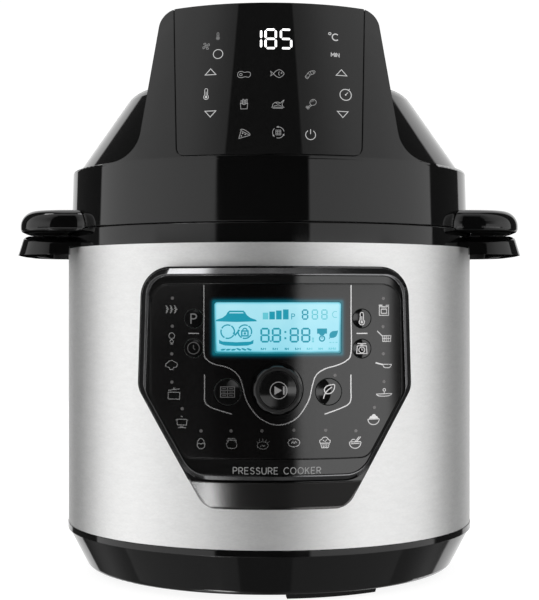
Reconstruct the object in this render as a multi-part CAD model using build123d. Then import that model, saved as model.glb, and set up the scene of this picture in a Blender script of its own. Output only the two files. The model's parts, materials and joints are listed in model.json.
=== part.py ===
"""Six-litre electric multicooker with a lift-off air-fryer head.

Frame: millimetres, +Z up, front is -Y, origin on the table under the middle of the round body.
"""
from build123d import *
from math import sin, cos, tan, radians, degrees, hypot, sqrt, atan2, pi
import os

os.makedirs("parts", exist_ok=True)

# ----------------------------------------------------------------- driving dimensions
# base unit
FOOT_H = 3.8            # rubber feet height
BOWL_R_LIP = 135.3      # black base bowl, lip radius
BOWL_Z_TOP = 32.8
SLV_R = 135.0           # brushed steel sleeve
SLV_T = 0.8
SLV_Z0, SLV_Z1 = 33.0, 213.5
RIM_R = 133.6           # black rim on top of the sleeve
RIM_Z = 225.2           # split line between base and head
LINER_R = 112.3         # inside of the liner
POT_R = 110.5           # outside of the removable pot
POT_T = 1.2
POT_Z0 = 58.1
POT_Z1 = 219.2
PLATE_R, PLATE_Z0, PLATE_Z1 = 98.0, 50.0, 58.0
# head
HEAD_Z0 = 225.6
SHOULDER_Z = 264.5
HEAD_R0, HEAD_R1 = 133.0, 131.8     # band radius at the split and at the shoulder
CREST_Z, CREST_R = 361.3, 98.0      # top edge of the leaning front face
DOME_R0, DOME_Z1, DOME_R1 = 127.6, 317.8, 94.7
HEAD_T = 3.0
LIFT = 0.42             # metres of head lift
# side handles
HND_X = 166.8           # outermost point of a base handle
HND_HALF = 59.5         # half length of a handle along Y
HNDL_X = 165.1          # outermost point of a head handle
# control panel on the base
PANEL_TURN = 1.8        # the panel stands this many degrees right of the front line
PAN_R = 146.0           # fascia surface
BEZ_R = 147.0           # bright rim surface
KNOB_Z = 128.2
KNOB_R = 13.8
BTN_TRAVEL = 0.8
# rear
CUP_Y1 = 158.0          # back of the condensate cup
INLET_Z = 62.0

LIDGAP = 0.1            # running gap between faces that meet


# ----------------------------------------------------------------- helpers
def rounded(pts, plane=Plane.XY):
    """Closed face through pts = [(x, y, r), ...] with corner radius r."""
    n = len(pts)
    segs = []
    for i in range(n):
        x, y, r = pts[i]
        if r <= 0:
            segs.append(((x, y), None, (x, y)))
            continue
        px, py, _ = pts[i - 1]
        qx, qy, _ = pts[(i + 1) % n]
        ax, ay = px - x, py - y
        bx, by = qx - x, qy - y
        la, lb = hypot(ax, ay), hypot(bx, by)
        ax, ay, bx, by = ax / la, ay / la, bx / lb, by / lb
        ang = abs(atan2(ax * by - ay * bx, ax * bx + ay * by))
        d = r / tan(ang / 2)
        t1 = (x + ax * d, y + ay * d)
        t2 = (x + bx * d, y + by * d)
        mx, my = ax + bx, ay + by
        lm = hypot(mx, my)
        h = r / sin(ang / 2)
        cx, cy = x + mx / lm * h, y + my / lm * h
        mid = (cx - mx / lm * r, cy - my / lm * r)
        segs.append((t1, mid, t2))
    edges = []
    for i in range(n):
        t1, mid, t2 = segs[i]
        if mid is not None:
            edges.append(ThreePointArc(t1, mid, t2))
        nx = segs[(i + 1) % n][0]
        if hypot(nx[0] - t2[0], nx[1] - t2[1]) > 1e-6:
            edges.append(Line(t2, nx))
    face = Face(Wire(edges))
    if face.normal_at().Z < 0:
        face = -face
    return plane * face


def mirror_pts(half):
    """half outline (x >= 0, listed from the top middle round to the bottom middle) -> closed list."""
    left = [(-x, y, r) for x, y, r in reversed(half) if x > 1e-9]
    return list(half) + left


def prism_y(pts, ya, yb):
    """Prism of an (x, z) outline between two y positions."""
    y0, y1 = max(ya, yb), min(ya, yb)
    return extrude(rounded(pts, Plane.XZ.offset(-y0)), amount=y0 - y1)


def prism_z(pts, z0, z1):
    return extrude(rounded(pts, Plane.XY.offset(z0)), amount=z1 - z0)


def rev(pts, arc=360.0, start=0.0):
    """Revolve an (r, z) outline [(r, z) or (r, z, fillet)] about Z."""
    p = [(q[0], q[1], q[2] if len(q) > 2 else 0) for q in pts]
    s = revolve(rounded(p, Plane.XZ), axis=Axis.Z, revolution_arc=arc)
    return Rot(0, 0, start) * s if start else s


def ring(r0, r1, z0, z1, arc=360.0, start=0.0):
    if arc >= 360 and r0 <= 0:
        return Pos(0, 0, (z0 + z1) / 2) * Cylinder(r1, z1 - z0)
    if arc >= 360:
        return Pos(0, 0, (z0 + z1) / 2) * (Cylinder(r1, z1 - z0) - Cylinder(r0, z1 - z0 + 2))
    return rev([(r0, z0), (r1, z0), (r1, z1), (r0, z1)], arc, start)


def box(x0, x1, y0, y1, z0, z1):
    return Pos((x0 + x1) / 2, (y0 + y1) / 2, (z0 + z1) / 2) * Box(x1 - x0, y1 - y0, z1 - z0)


def cyl_y(x, z, r, ya, yb):
    """Cylinder along Y."""
    return Pos(x, (ya + yb) / 2, z) * Rot(90, 0, 0) * Cylinder(r, abs(yb - ya))


def cyl_z(x, y, r, z0, z1):
    return Pos(x, y, (z0 + z1) / 2) * Cylinder(r, z1 - z0)


def hexa(af, z0, z1):
    return Pos(0, 0, z0) * extrude(RegularPolygon(af / sqrt(3), 6), amount=z1 - z0)


def at(r, a):
    return r * sin(radians(a)), -r * cos(radians(a))


NODES = {}


def put(name, *shapes):
    solids = []
    for s in shapes:
        solids += list(s.solids())
    NODES[name] = solids
    comp = Compound(solids) if len(solids) > 1 else solids[0]
    export_step(comp, f"parts/{name}.step")


# ================================================================= base unit
# ---- base bowl: lip, tapered wall, flat floor with air slots, rabbet that locates the sleeve
bowl = rev([
    (0, FOOT_H), (121.4, FOOT_H, 5.0), (134.5, 29.0), (BOWL_R_LIP, 29.0), (BOWL_R_LIP, BOWL_Z_TOP),
    (134.0, BOWL_Z_TOP), (134.0, 40.0), (131.4, 40.0), (131.4, 29.4), (119.9, 5.9), (0, 5.9),
])
for i in range(20):
    a = i * 18 + 9
    if i % 5 == 2:
        continue
    slot = Rot(0, 0, a) * box(62, 92, -2.2, 2.2, 0, 8)
    bowl -= slot
for sx in (-1, 1):
    for yy in (58, 102):
        bowl += cyl_z(sx * 38, yy, 3.5, 5.9, 19.9)
screw_at = [45, 135, 225, 315]
for a in screw_at:
    x, y = at(96, a)
    bowl -= cyl_z(x, y, 4.4, 0, 4.6)
    bowl -= cyl_z(x, y, 2.1, 0, 8)
put("base_bowl", bowl)

# ---- three arc-shaped rubber feet
FEET_A = [20.5, 140.5, 260.5]
feet = []
for a in FEET_A:
    f = rev([(105.5, 0.0), (112.4, 0.0), (113.8, FOOT_H), (105.0, FOOT_H)], 30.0, a - 90 - 15)
    feet.append(f)
put("rubber_feet", *feet)

# ---- brushed steel sleeve with a window for the control panel, and one for the inlet
BEZ = mirror_pts([(0, 198.2, 0), (79.0, 198.2, 17.0), (81.2, 127.0, 13.0), (50.4, 74.2, 19.0), (0, 74.2, 0)])
FOOTPRINT = mirror_pts([(0, 198.2, 0), (79.0, 198.2, 17.0), (81.2, 127.0, 13.0), (40.6, 57.4, 12.0), (0, 57.4, 0)])
WINDOW = mirror_pts([(0, 190.0, 0), (70.5, 190.0, 10.0), (72.5, 129.5, 8.0), (40.0, 73.0, 8.0), (0, 73.0, 0)])
FASC = mirror_pts([(0, 188.6, 0), (73.2, 188.6, 11.0), (73.7, 122.7, 9.0), (53.4, 87.9, 8.0), (0, 87.9, 0)])
turn = Rot(0, 0, PANEL_TURN)

sleeve = ring(SLV_R - SLV_T, SLV_R, SLV_Z0, SLV_Z1)
sleeve -= turn * prism_y(WINDOW, -90, -160)
sleeve -= prism_y([(-14.6, INLET_Z - 11.2, 2), (14.6, INLET_Z - 11.2, 2), (14.6, INLET_Z + 11.2, 2), (-14.6, INLET_Z + 11.2, 2)], 100, 160)
put("steel_sleeve", sleeve)

# ---- top rim with drip gutter
rim = rev([
    (131.2, 205.0), (133.9, 205.0), (133.9, 213.3), (RIM_R, 213.7), (RIM_R, RIM_Z - 0.3), (RIM_R - 0.3, RIM_Z), (130.6, RIM_Z), (130.6, 216.0),
    (125.6, 216.0), (125.6, 222.0), (124.1, 222.0), (124.1, 216.4), (115.0, 216.4), (115.0, 214.2), (131.2, 214.2),
])
rim -= box(-4, 4, 125.6, 130.4, 210, 218)            # drain to the cup
rim -= box(-4, 4, 126.5, 140, 207.0, 212.0)
put("top_rim", rim)

# ---- liner that surrounds the pot, and the locking ring on its flange
liner = rev([
    (90.0, 44.0), (113.3, 44.0, 6.0), (113.3, 216.5), (123.8, 216.5), (123.8, 217.5), (LINER_R, 217.5),
    (LINER_R, 45.0, 5.0), (90.0, 45.0),
])
put("inner_liner", liner)
lock = ring(121.5, 123.8, 217.6, 223.0)
for i in range(8):
    lock += ring(119.6, 121.7, 221.2, 223.0, 20.0, i * 45 + 12)
put("locking_ring", lock)

# ---- heating plate on three cast legs, centre hole for the sensor
plate = ring(16.0, PLATE_R, PLATE_Z0, PLATE_Z1)
plate -= ring(60.0, 80.0, PLATE_Z0 - 1, PLATE_Z0 + 3)
for i in range(3):
    x, y = at(94, 60 + 120 * i)
    plate += cyl_z(x, y, 3.5, 45.1, PLATE_Z0 + 0.5)
put("heating_plate", plate)

# ---- spring-loaded pot sensor
holder = ring(5.4, 20.0, 36.0, 38.0)
for i in range(3):
    a = 60 + 120 * i
    holder += Rot(0, 0, a) * box(19.0, 30.0, -5, 5, 36.0, 38.0)
    holder += Rot(0, 0, a) * box(28.4, 30.0, -5, 5, 36.0, 49.9)
put("sensor_holder", holder)
sensor = ring(0, 14.0, 53.0, 58.0) + ring(0, 5.0, 34.0, 53.0)
put("sensor_button", sensor)
helix = Helix(pitch=2.75, height=13.0, radius=8.0, center=(0, 0, 38.9))
wire_r = 0.55
spring = sweep(Plane(helix @ 0, z_dir=helix % 0) * Circle(wire_r), path=helix)
put("sensor_spring", spring)

# ---- power board under the liner
board = box(-45, 45, 52, 108, 20.0, 21.6)
for sx in (-1, 1):
    for yy in (58, 102):
        board -= cyl_z(sx * 38, yy, 1.6, 18, 24)
put("power_board", board)
comps = [
    box(-30, -6, 62, 84, 21.7, 38.0), box(2, 20, 60, 75, 21.7, 37.0), box(2, 20, 79, 94, 21.7, 37.0),
    cyl_z(31, 68, 6.0, 21.7, 38.0), cyl_z(31, 86, 5.0, 21.7, 36.0), box(-30, -8, 90, 101, 21.7, 32.0),
]
put("board_components", *comps)

# ---- mains inlet in the back of the sleeve
IN_O = [(-18, INLET_Z - 14, 3), (18, INLET_Z - 14, 3), (18, INLET_Z + 14, 3), (-18, INLET_Z + 14, 3)]
IN_B = [(-14.2, INLET_Z - 10.8, 2), (14.2, INLET_Z - 10.8, 2), (14.2, INLET_Z + 10.8, 2), (-14.2, INLET_Z + 10.8, 2)]
IN_C = [(-12.2, INLET_Z - 8.2, 1), (12.2, INLET_Z - 8.2, 1), (12.2, INLET_Z + 4.2, 1), (8.0, INLET_Z + 8.2, 1), (-8.0, INLET_Z + 8.2, 1), (-12.2, INLET_Z + 4.2, 1)]
inlet = (ring(SLV_R + 0.1, 138.0, INLET_Z - 20, INLET_Z + 20) & prism_y(IN_O, 100, 160))
inlet += prism_y(IN_B, 114.0, 135.6)
inlet -= prism_y(IN_C, 118.0, 150.0)
pin_at = [(-7.0, -2.0), (7.0, -2.0), (0.0, 2.0)]
for px, pz in pin_at:
    inlet -= box(px - 1.05, px + 1.05, 105, 120, INLET_Z + pz - 2.05, INLET_Z + pz + 2.05)
put("inlet_socket", inlet)
put("inlet_pins", *[box(px - 1, px + 1, 115.0, 132.5, INLET_Z + pz - 2, INLET_Z + pz + 2) for px, pz in pin_at])

# ---- base handles: rounded lugs with a finger recess underneath
def lug_outline(xo, half, corner, flare=0.0, rb=133.3):
    """Plan of a left-hand handle; flare is the hollow radius that runs it into a body of radius rb."""
    out = [(-xo + 4.0, -half, corner), (-xo, 0, 200.0), (-xo + 4.0, half, corner)]
    if not flare:
        return [(-100.0, -half, 0)] + out + [(-100.0, half, 0)]
    kx = -sqrt(rb * rb - half * half)
    ex, ey = kx + 7.4 * cos(radians(55.5)), half + 7.4 * sin(radians(55.5))
    return [(-100.0, -half, 0), (ex, -ey, 0), (kx, -half, flare)] + out + [(kx, half, flare), (ex, ey, 0), (-100.0, half, 0)]


def lug(xo, half, z0, z1, top_r, corner, flare=0.0):
    pts = lug_outline(xo, half, corner, flare)
    s = prism_z(pts, z0, z1)
    if top_r:
        es = [e for e in s.edges() if abs(e.center().Z - z1) < 1e-3 and e.center().X < -100.5]
        s = fillet(es, top_r)
    return s


HZ0, HZ1 = 208.8, 222.6
bh_pts = lug_outline(HND_X, HND_HALF, 28.0)
bh = extrude(rounded(bh_pts, Plane.XY.offset(HZ0)), amount=HZ1 - HZ0 + 4, taper=17)
if bh.bounding_box().center().Z < HZ0:
    bh = mirror(bh, about=Plane.XY.offset(HZ0))
CROWN = 290.0
bh &= Pos(-130, 0, HZ1 - CROWN) * Rot(0, 90, 0) * Cylinder(CROWN, 120)
top_e = [e for e in bh.edges() if e.center().X < -112 and e.center().Z > HZ0 + 4 and abs(e.tangent_at(0.5).Z) < 0.55]
bh = fillet(top_e, 2.0)
bh -= ring(0, RIM_R + LIDGAP, 200, 240)
bh -= ring(0, SLV_R + 0.15, 200, 213.75)
bh -= prism_z(lug_outline(HND_X - 8.5, HND_HALF - 6.0, 21.0), 190, 215.2)     # finger recess
bh -= box(-127.8, -90, -80, 80, 190, 213.75)
for sy in (-1, 1):
    bh -= Rot(0, 0, sy * 14) * Pos(-137, 0, 219.5) * Rot(0, 90, 0) * Cylinder(1.5, 16)
put("base_handle_left", bh)
put("base_handle_right", mirror(bh, about=Plane.YZ))

# ---- screws: four in the floor, two in each base handle
scr = []
for a in screw_at:
    x, y = at(96, a)
    scr.append(cyl_z(x, y, 4.0, 3.6, 4.5) + cyl_z(x, y, 1.9, 4.4, 14.0) - (Pos(x, y, 3.4) * Box(5, 0.9, 1.2)) - (Pos(x, y, 3.4) * Box(0.9, 5, 1.2)))
for side in (0, 180):
    for sy in (-1, 1):
        s = Pos(-135.6, 0, 219.5) * Rot(0, 90, 0) * Cylinder(1.35, 15.6) + Pos(-127.8, 0, 219.5) * Rot(0, 90, 0) * Cylinder(2.4, 1.6)
        scr.append(Rot(0, 0, side + sy * 14) * s)
rim_holes = []
for side in (0, 180):
    for sy in (-1, 1):
        rim_holes.append(Rot(0, 0, side + sy * 14) * Pos(-132, 0, 219.5) * Rot(0, 90, 0) * Cylinder(1.5, 8))
for h in rim_holes:
    rim -= h
put("top_rim", rim)
put("base_screws", *scr)

# ---- rubber buffers under the head's handles
bump = [cyl_z(sx * 150.0, 0, 3.2, 222.62, 223.2) for sx in (-1, 1)]
put("handle_buffers", *bump)

# ================================================================= control panel
# body of the panel: flat tub on the sleeve, with a chin that runs back to it
tub_prof = rev([(SLV_R + 0.15, 50.0), (SLV_R + 0.2, 57.0), (144.4, 73.4), (PAN_R, 76.0), (PAN_R, 200.0), (SLV_R + 0.15, 200.0)])
tub = tub_prof & prism_y(FOOTPRINT, -60, -170)
FLANGE = mirror_pts([(0, 199.5, 0), (80.3, 199.5, 18.3), (82.6, 126.8, 14.0), (42.2, 57.0, 13.0), (0, 57.0, 0)])
tub += ring(SLV_R + 0.15, SLV_R + 1.0, 50, 210) & prism_y(FLANGE, -60, -170)
INNER = mirror_pts([(0, 186.6, 0), (71.4, 186.6, 9.0), (71.8, 123.5, 8.0), (50.6, 89.6, 7.0), (40.0, 84.5, 5.0), (0, 84.5, 0)])
tub -= ring(100, 141.6, 50, 210) & prism_y(INNER, -60, -170)
# rabbet for the bright rim, recess for the fascia
BEZ_IN = mirror_pts([(0, 193.8, 0), (74.6, 193.8, 12.5), (76.9, 125.3, 10.0), (49.6, 78.5, 16.0), (0, 78.5, 0)])
tub -= (ring(142.4, 160, 73.0, 210) & prism_y(mirror_pts([(0, 210, 0), (100, 210, 0), (100, 60, 0), (0, 60, 0)]), -60, -170)) & (
    prism_y(mirror_pts([(0, 209, 0), (99, 209, 0), (99, 73.6, 0), (0, 73.6, 0)]), -60, -170) - prism_y(BEZ_IN, -60, -170))
FASC_HOLE = mirror_pts([(0, 189.1, 0), (73.7, 189.1, 11.4), (74.2, 122.6, 9.3), (53.7, 87.4, 8.3), (0, 87.4, 0)])
tub -= ring(144.4, 160, 50, 210) & prism_y(FASC_HOLE, -60, -170)
# openings for the display, the dial and the buttons
LCD = [(-36.2, 148.6, 1.5), (37.4, 148.6, 1.5), (37.4, 178.3, 1.5), (-36.2, 178.3, 1.5)]
LCD_HOLE = [(-36.4, 148.4, 1.6), (37.6, 148.4, 1.6), (37.6, 178.5, 1.6), (-36.4, 178.5, 1.6)]
BUTTONS = {
    "pressure_button": (-48.4, 168.8, 5.4), "clock_button": (-48.4, 151.6, 5.4),
    "temperature_button": (49.8, 168.8, 5.4), "timer_button": (49.8, 151.2, 5.4),
    "menu_button": (-28.6, 126.4, 7.6), "eco_button": (29.9, 126.4, 7.6),
}
fasc = ring(144.5, PAN_R, 80, 200) & prism_y(FASC, -60, -170)
fasc -= prism_y(LCD_HOLE, -60, -170)
tub -= prism_y([(-34, 150.6, 1), (35.2, 150.6, 1), (35.2, 176.3, 1), (-34, 176.3, 1)], -60, -170)
for n, (bx, bz, br) in BUTTONS.items():
    fasc -= cyl_y(bx, bz, br + 0.3, -100, -170)
    tub -= cyl_y(bx, bz, br + 0.9, -100, -170)
fasc -= cyl_y(0, KNOB_Z, 15.2, -100, -170)
tub -= cyl_y(0, KNOB_Z, 9.9, -100, -170)
put("panel_housing", turn * tub)
put("panel_fascia", turn * fasc)

BEZ_N = mirror_pts([(0, 193.9, 0), (74.7, 193.9, 12.6), (77.0, 125.3, 10.1), (49.65, 78.4, 16.1), (0, 78.4, 0)])
bez = ring(142.5, BEZ_R, 60, 210) & prism_y(BEZ, -60, -170)
edge = [e for e in bez.edges() if min(hypot(v.X, v.Y) for v in e.vertices()) > BEZ_R - 0.01 and e.length > 1]
bez = chamfer(edge, 3.4)
bez -= prism_y(BEZ_N, -60, -170)
put("panel_bezel", turn * bez)

lcd = ring(144.5, 145.9, 100, 200) & prism_y(LCD, -60, -170)
put("lcd_display", turn * lcd)

# control board, switches, dial encoder
CB_Y0, CB_Y1 = -126.0, -127.6
cb = box(-56, 56, CB_Y1, CB_Y0, 92, 184)
cb -= box(-57, -44, -130, -120, 90, 106) + box(44, 57, -130, -120, 90, 106)
for sx in (-1, 1):
    cb -= cyl_y(sx * 50, 180, 1.6, -120, -130)
put("control_board", turn * cb)
sw = []
for n, (bx, bz, br) in BUTTONS.items():
    sw.append(box(bx - 3, bx + 3, -131.2, CB_Y1 - 0.05, bz - 3, bz + 3))
sw.append(box(-3, 3, -131.2, CB_Y1 - 0.05, KNOB_Z - 3, KNOB_Z + 3))
put("tact_switches", *[turn * s for s in sw])
enc = cyl_y(0, KNOB_Z, 8.8, CB_Y1 - 0.05, -139.0) + cyl_y(0, KNOB_Z, 6.52, -138.0, -148.4) - cyl_y(0, KNOB_Z, 5.0, CB_Y1 + 1, -150)
put("dial_encoder", turn * enc)

# dial: grip ring with shallow scallops, hollow sleeve that turns on the encoder
KN0, KN1 = -147.4, -157.2
dial = cyl_y(0, KNOB_Z, KNOB_R, KN0, KN1)
dial = fillet([e for e in dial.edges() if abs(e.center().Y - KN1) < 1e-3], 1.6)
for i in range(8):
    a = radians(45 * i + 22.5)
    dial -= cyl_y((KNOB_R + 6.4) * cos(a), KNOB_Z + (KNOB_R + 6.4) * sin(a), 7.0, KN0 + 1, KN1 - 1)
dial += cyl_y(0, KNOB_Z, 8.6, -139.4, KN0 - 0.5)
dial -= cyl_y(0, KNOB_Z, 11.0, -149.6, KN1 - 2)
dial -= cyl_y(0, KNOB_Z, 6.6, -130, KN1 - 2)
put("dial_ring", turn * dial)
cap = cyl_y(0, KNOB_Z, 10.6, -151.0, -159.0)
cap = fillet([e for e in cap.edges() if abs(e.center().Y + 159.0) < 1e-3], 1.2)
cap &= Pos(0, -159.0 + 38.0, KNOB_Z) * Sphere(38.0)
cap += cyl_y(0, KNOB_Z, 4.92, -132.4, -152.0)
put("start_button", turn * cap)

# push buttons: caps flush with the fascia, on stems that reach the switches
for n, (bx, bz, br) in BUTTONS.items():
    b = cyl_y(bx, bz, br, -130.0, -160) & ring(142.6, PAN_R + 0.35, 100, 200)
    b += cyl_y(bx, bz, 2.2, -132.2, -143.0) & ring(100, 143.5, 100, 200)
    b -= Pos(bx, -sqrt((PAN_R + 0.35) ** 2 - bx ** 2) - 38.0 + 0.35, bz) * Sphere(38.0)
    put(n, turn * b)

# ================================================================= back of the base
# bracket with two rails under the drip spout, and the cup that slides along them
BR = [(-40, 150, 4), (40, 150, 4), (40, 204.4, 4), (-40, 204.4, 4)]
brk = ring(SLV_R + 0.1, 137.4, 140, 210) & prism_y(BR, 100, 170)
for sx in (-1, 1):
    r = box(min(sx * 36.2, sx * 40), max(sx * 36.2, sx * 40), 131.0, 150.0, 186.0, 189.0)
    brk += r - ring(0, SLV_R + 0.1, 170, 200)
sp = box(-6, 6, 131.0, 148.0, 198.4, 204.4) - box(-4, 4, 128.0, 146.0, 200.4, 206.0) - box(-4, 4, 141.0, 146.0, 196, 202)
brk += sp - ring(0, SLV_R + 0.1, 190, 210)
put("cup_bracket", brk)

CUPB = [(-35.8, 139.8, 2), (35.8, 139.8, 2), (35.8, CUP_Y1, 9), (-35.8, CUP_Y1, 9)]
CUPI = [(-33.8, 141.6, 1), (33.8, 141.6, 1), (33.8, CUP_Y1 - 1.8, 7.2), (-33.8, CUP_Y1 - 1.8, 7.2)]
cup = prism_z(CUPB, 152.0, 191.4) - prism_z(CUPI, 153.8, 200)
lipo = prism_z([(-39.6, 139.8, 1), (39.6, 139.8, 1), (39.6, 151.5, 2), (-39.6, 151.5, 2)], 189.4, 191.4)
cup += lipo - prism_z(CUPI, 150, 200)
put("condensate_cup", cup)

# ================================================================= removable pot
pot = rev([
    (0, POT_Z0), (POT_R, POT_Z0, 9.0), (POT_R, 218.0), (118.5, 218.0), (118.5, POT_Z1), (POT_R - POT_T, POT_Z1, 1.0),
    (POT_R - POT_T, POT_Z0 + 1.5, 7.8), (0, POT_Z0 + 1.5),
])
put("inner_pot", pot)

# ================================================================= head (air-fryer lid)
def face_r(z):
    """Radius of the leaning front face."""
    return HEAD_R1 - (HEAD_R1 - CREST_R) * (z - SHOULDER_Z) / (CREST_Z - SHOULDER_Z)


def console(t):
    """Wedge that carries the touch panel, shrunk by t."""
    k = t * 1.0
    out = mirror_pts([
        (0, CREST_Z - k, 0), (67.8 - k, CREST_Z - k, max(12.0 - k, 2.0)), (81.2 - k, SHOULDER_Z + 0.0, 20.0 + k),
        (120.0, SHOULDER_Z, 0), (120.0, 240.0, 0), (0, 240.0, 0)]) if t <= 0 else mirror_pts([
        (0, CREST_Z - k, 0), (67.8 - k, CREST_Z - k, max(12.0 - k, 2.0)), (81.2 - k, 240.0, 0), (0, 240.0, 0)])
    front = prism_y(out, 100, -150)
    zt = CREST_Z - k
    side = [(-150, 240, 0), (66 - k, 240, 0), (62 - k, 327 - k, 6.0), (-52, zt, 60.0), (-150, zt, 0)]
    side_f = extrude(rounded(side, Plane.YZ.offset(-150)), amount=300)
    kk = k / cos(atan2(HEAD_R1 - CREST_R, CREST_Z - SHOULDER_Z))
    z0, z1 = 239.0, CREST_Z + 5
    zs = SHOULDER_Z
    cone = rev([(0, z0), (face_r(zs) - kk, z0), (face_r(zs) - kk, zs), (face_r(z1) - kk, z1), (0, z1)])
    yb = -78.0 - k
    if t > 0:
        ears = [(95, -170, 0), (83 - k, -100, 0)]
    else:
        ears = [(104 - k, -170, 0), (104 - k, yb, 0), (78.6 - k, yb, 0)]
    plan = prism_z(ears + [(49 - k, 70, 12), (-49 + k, 70, 12)] + [(-x, y, r) for x, y, r in reversed(ears)], 200, 400)
    return front & side_f & cone & plan


def dome(t, zb=240.0):
    """Cone-shaped top cover, shrunk by t (measured square to the wall)."""
    sl = (DOME_R0 - DOME_R1) / (312.0 - SHOULDER_Z)
    kk = t * sqrt(1 + sl * sl)
    rb = DOME_R0 + (SHOULDER_Z - zb) * sl - kk
    zt = DOME_Z1 - t
    rt = DOME_R0 - (zt - SHOULDER_Z) * sl - kk
    return rev([(0, zb), (rb, zb), (rt, zt, 15.0), (0, zt)])


def band(t, z0=HEAD_Z0):
    r0 = HEAD_R0 - t
    return rev([(0, z0), (r0, z0), (HEAD_R1 - t, SHOULDER_Z - t), (0, SHOULDER_Z - t)]) if t > 0 else rev(
        [(0, z0), (r0 - 0.4, z0), (r0, z0 + 0.6), (HEAD_R1, SHOULDER_Z, 1.8), (0, SHOULDER_Z)])


above = ring(0, 200, SHOULDER_Z - 0.01, 400)
con_out = console(0.0)
con_in = console(HEAD_T)
hous = band(0.0) + (con_out & ring(0, 200, 245, 400))
hous -= band(HEAD_T, 220.0)
hous -= con_in
hous -= (dome(4.0, 255.0) & ring(0, 116.0, 250, 330))
hous -= ring(0, 116.0, 255, SHOULDER_Z + 0.1)
# recess for the touch panel
TP = mirror_pts([(0, 370.0, 0), (59.6, 370.0, 0), (54.9, 265.5, 5.0), (0, 265.5, 0)])
TPH = mirror_pts([(0, 371.0, 0), (60.2, 371.0, 0), (55.5, 264.9, 5.6), (0, 264.9, 0)])


def face_shell(k0, k1, z0, z1):
    """Cone shell under the leaning face, between depths k0 and k1."""
    ck = 1 / cos(atan2(HEAD_R1 - CREST_R, CREST_Z - SHOULDER_Z))
    return rev([(face_r(z0) - k1 * ck, z0), (face_r(z0) - k0 * ck, z0), (face_r(z1) - k0 * ck, z1), (face_r(z1) - k1 * ck, z1)])


hous -= face_shell(-5.0, 1.7, 262.0, 366.0) & prism_y(TPH, 0, -170) & ring(0, 200, 264.8, 400)
hous -= Pos(0, -1, 0) * (prism_y([(-28, 326, 2), (34, 326, 2), (34, 348, 2), (-28, 348, 2)], -60, -150))
# air outlets in the back of the band, and a hole for the lead's gland
for i in range(11):
    a = 150 + (i - 5) * 4.6 - 0
    hous -= Rot(0, 0, a - 90 + 30) * Pos(131, 0, 249) * Box(14, 3.2, 18)
GL_A = 196.0
hous -= Rot(0, 0, GL_A + 14) * Pos(0, -131, 246) * Rot(90, 0, 0) * Cylinder(6.2, 20)
put("head_housing", hous)

tp = face_shell(0.0, 1.5, 262.0, CREST_Z) & prism_y(TP, 0, -170)
put("touch_panel", tp)

# dome cover: sits on the ledge behind the shoulder, cut out for the wedge
con_big = console(-0.25)
dm = (dome(0.0, SHOULDER_Z + 0.1)) - dome(2.4, SHOULDER_Z - 5)
dm += ring(118.0, 127.0, SHOULDER_Z + 0.1, SHOULDER_Z + 2.2) & dome(0.0, SHOULDER_Z + 0.1)
dm -= con_big
keep = [s for s in dm.solids()]
keep.sort(key=lambda s: -s.volume)
dm = keep[0]
for i in range(9):
    a = radians(90 + (i - 4) * 9.0)
    dm -= Rot(0, 0, degrees(a)) * Pos(103, 0, 297) * Rot(0, 35, 0) * Box(26, 3.4, 22)
put("head_dome", dm)

# underside ring, seal, reflector, guard, heating element
base_ring = ring(107.0, 129.6, HEAD_Z0, 230.0) + ring(127.2, 129.3, 229.9, 238.0)
for i in range(6):
    x, y = at(123.0, 30 + 60 * i)
    base_ring -= cyl_z(x, y, 2.1, 220, 235)
    base_ring -= cyl_z(x, y, 3.8, 220, 227.2)
put("head_base_ring", base_ring)
seal = rev([(112.0, 219.4), (116.6, 219.4), (118.3, 222.0), (118.3, HEAD_Z0 - 0.1), (111.0, HEAD_Z0 - 0.1), (111.0, 221.4)])
put("head_seal", seal)
dish = rev([
    (9.0, 245.0), (104.8, 245.0, 8.0), (104.8, 206.0), (106.0, 206.0), (106.0, 230.1), (121.0, 230.1), (121.0, 231.1),
    (106.0, 231.1), (106.0, 246.2, 9.2), (9.0, 246.2),
])
x0 = 18.0
for a, r in ((20.0, 87.0), (20.0, 67.0)):
    xx, yy = r * cos(radians(a)), r * sin(radians(a))
    dish -= cyl_z(xx, yy, 3.6, 240, 250)
for i in range(6):
    x, y = at(117.5, 30 + 60 * i)
put("reflector_dish", dish)

guard = ring(0, 104.4, 208.5, 209.7)
for rr, nn, ln in ((92.0, 28, 15.0), (70.0, 22, 15.0), (48.0, 14, 15.0), (27.0, 8, 11.0)):
    for i in range(nn):
        a = 360.0 / nn * i
        guard -= Rot(0, 0, a) * Pos(rr, 0, 209) * Box(ln, min(2 * pi * (rr - ln / 2) / nn - 3.2, 7.5), 4)
put("guard_grille", guard)

TUBE = 3.2


def tube_arc(cx, cy, r, a0, a1, z):
    prof = Pos(r, 0, 0) * (Plane.XZ * Circle(TUBE))
    s = revolve(prof, axis=Axis.Z, revolution_arc=a1 - a0)
    return Pos(cx, cy, z) * Rot(0, 0, a0) * s


EZ = 219.0
A0, A1 = 20.0, 338.0
coil = tube_arc(0, 0, 87.0, A0, A1, EZ)
coil += tube_arc(0, 0, 67.0, A0, A1, EZ)
mx, my = 77.0 * cos(radians(A1)), 77.0 * sin(radians(A1))
coil += tube_arc(mx, my, 10.0, A1, A1 + 180, EZ)
for r in (87.0, 67.0):
    xx, yy = r * cos(radians(A0)), r * sin(radians(A0))
    coil += Pos(xx, yy, EZ) * Sphere(TUBE)
    coil += cyl_z(xx, yy, TUBE, EZ, 254.0)
put("heating_element", coil)

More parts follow.
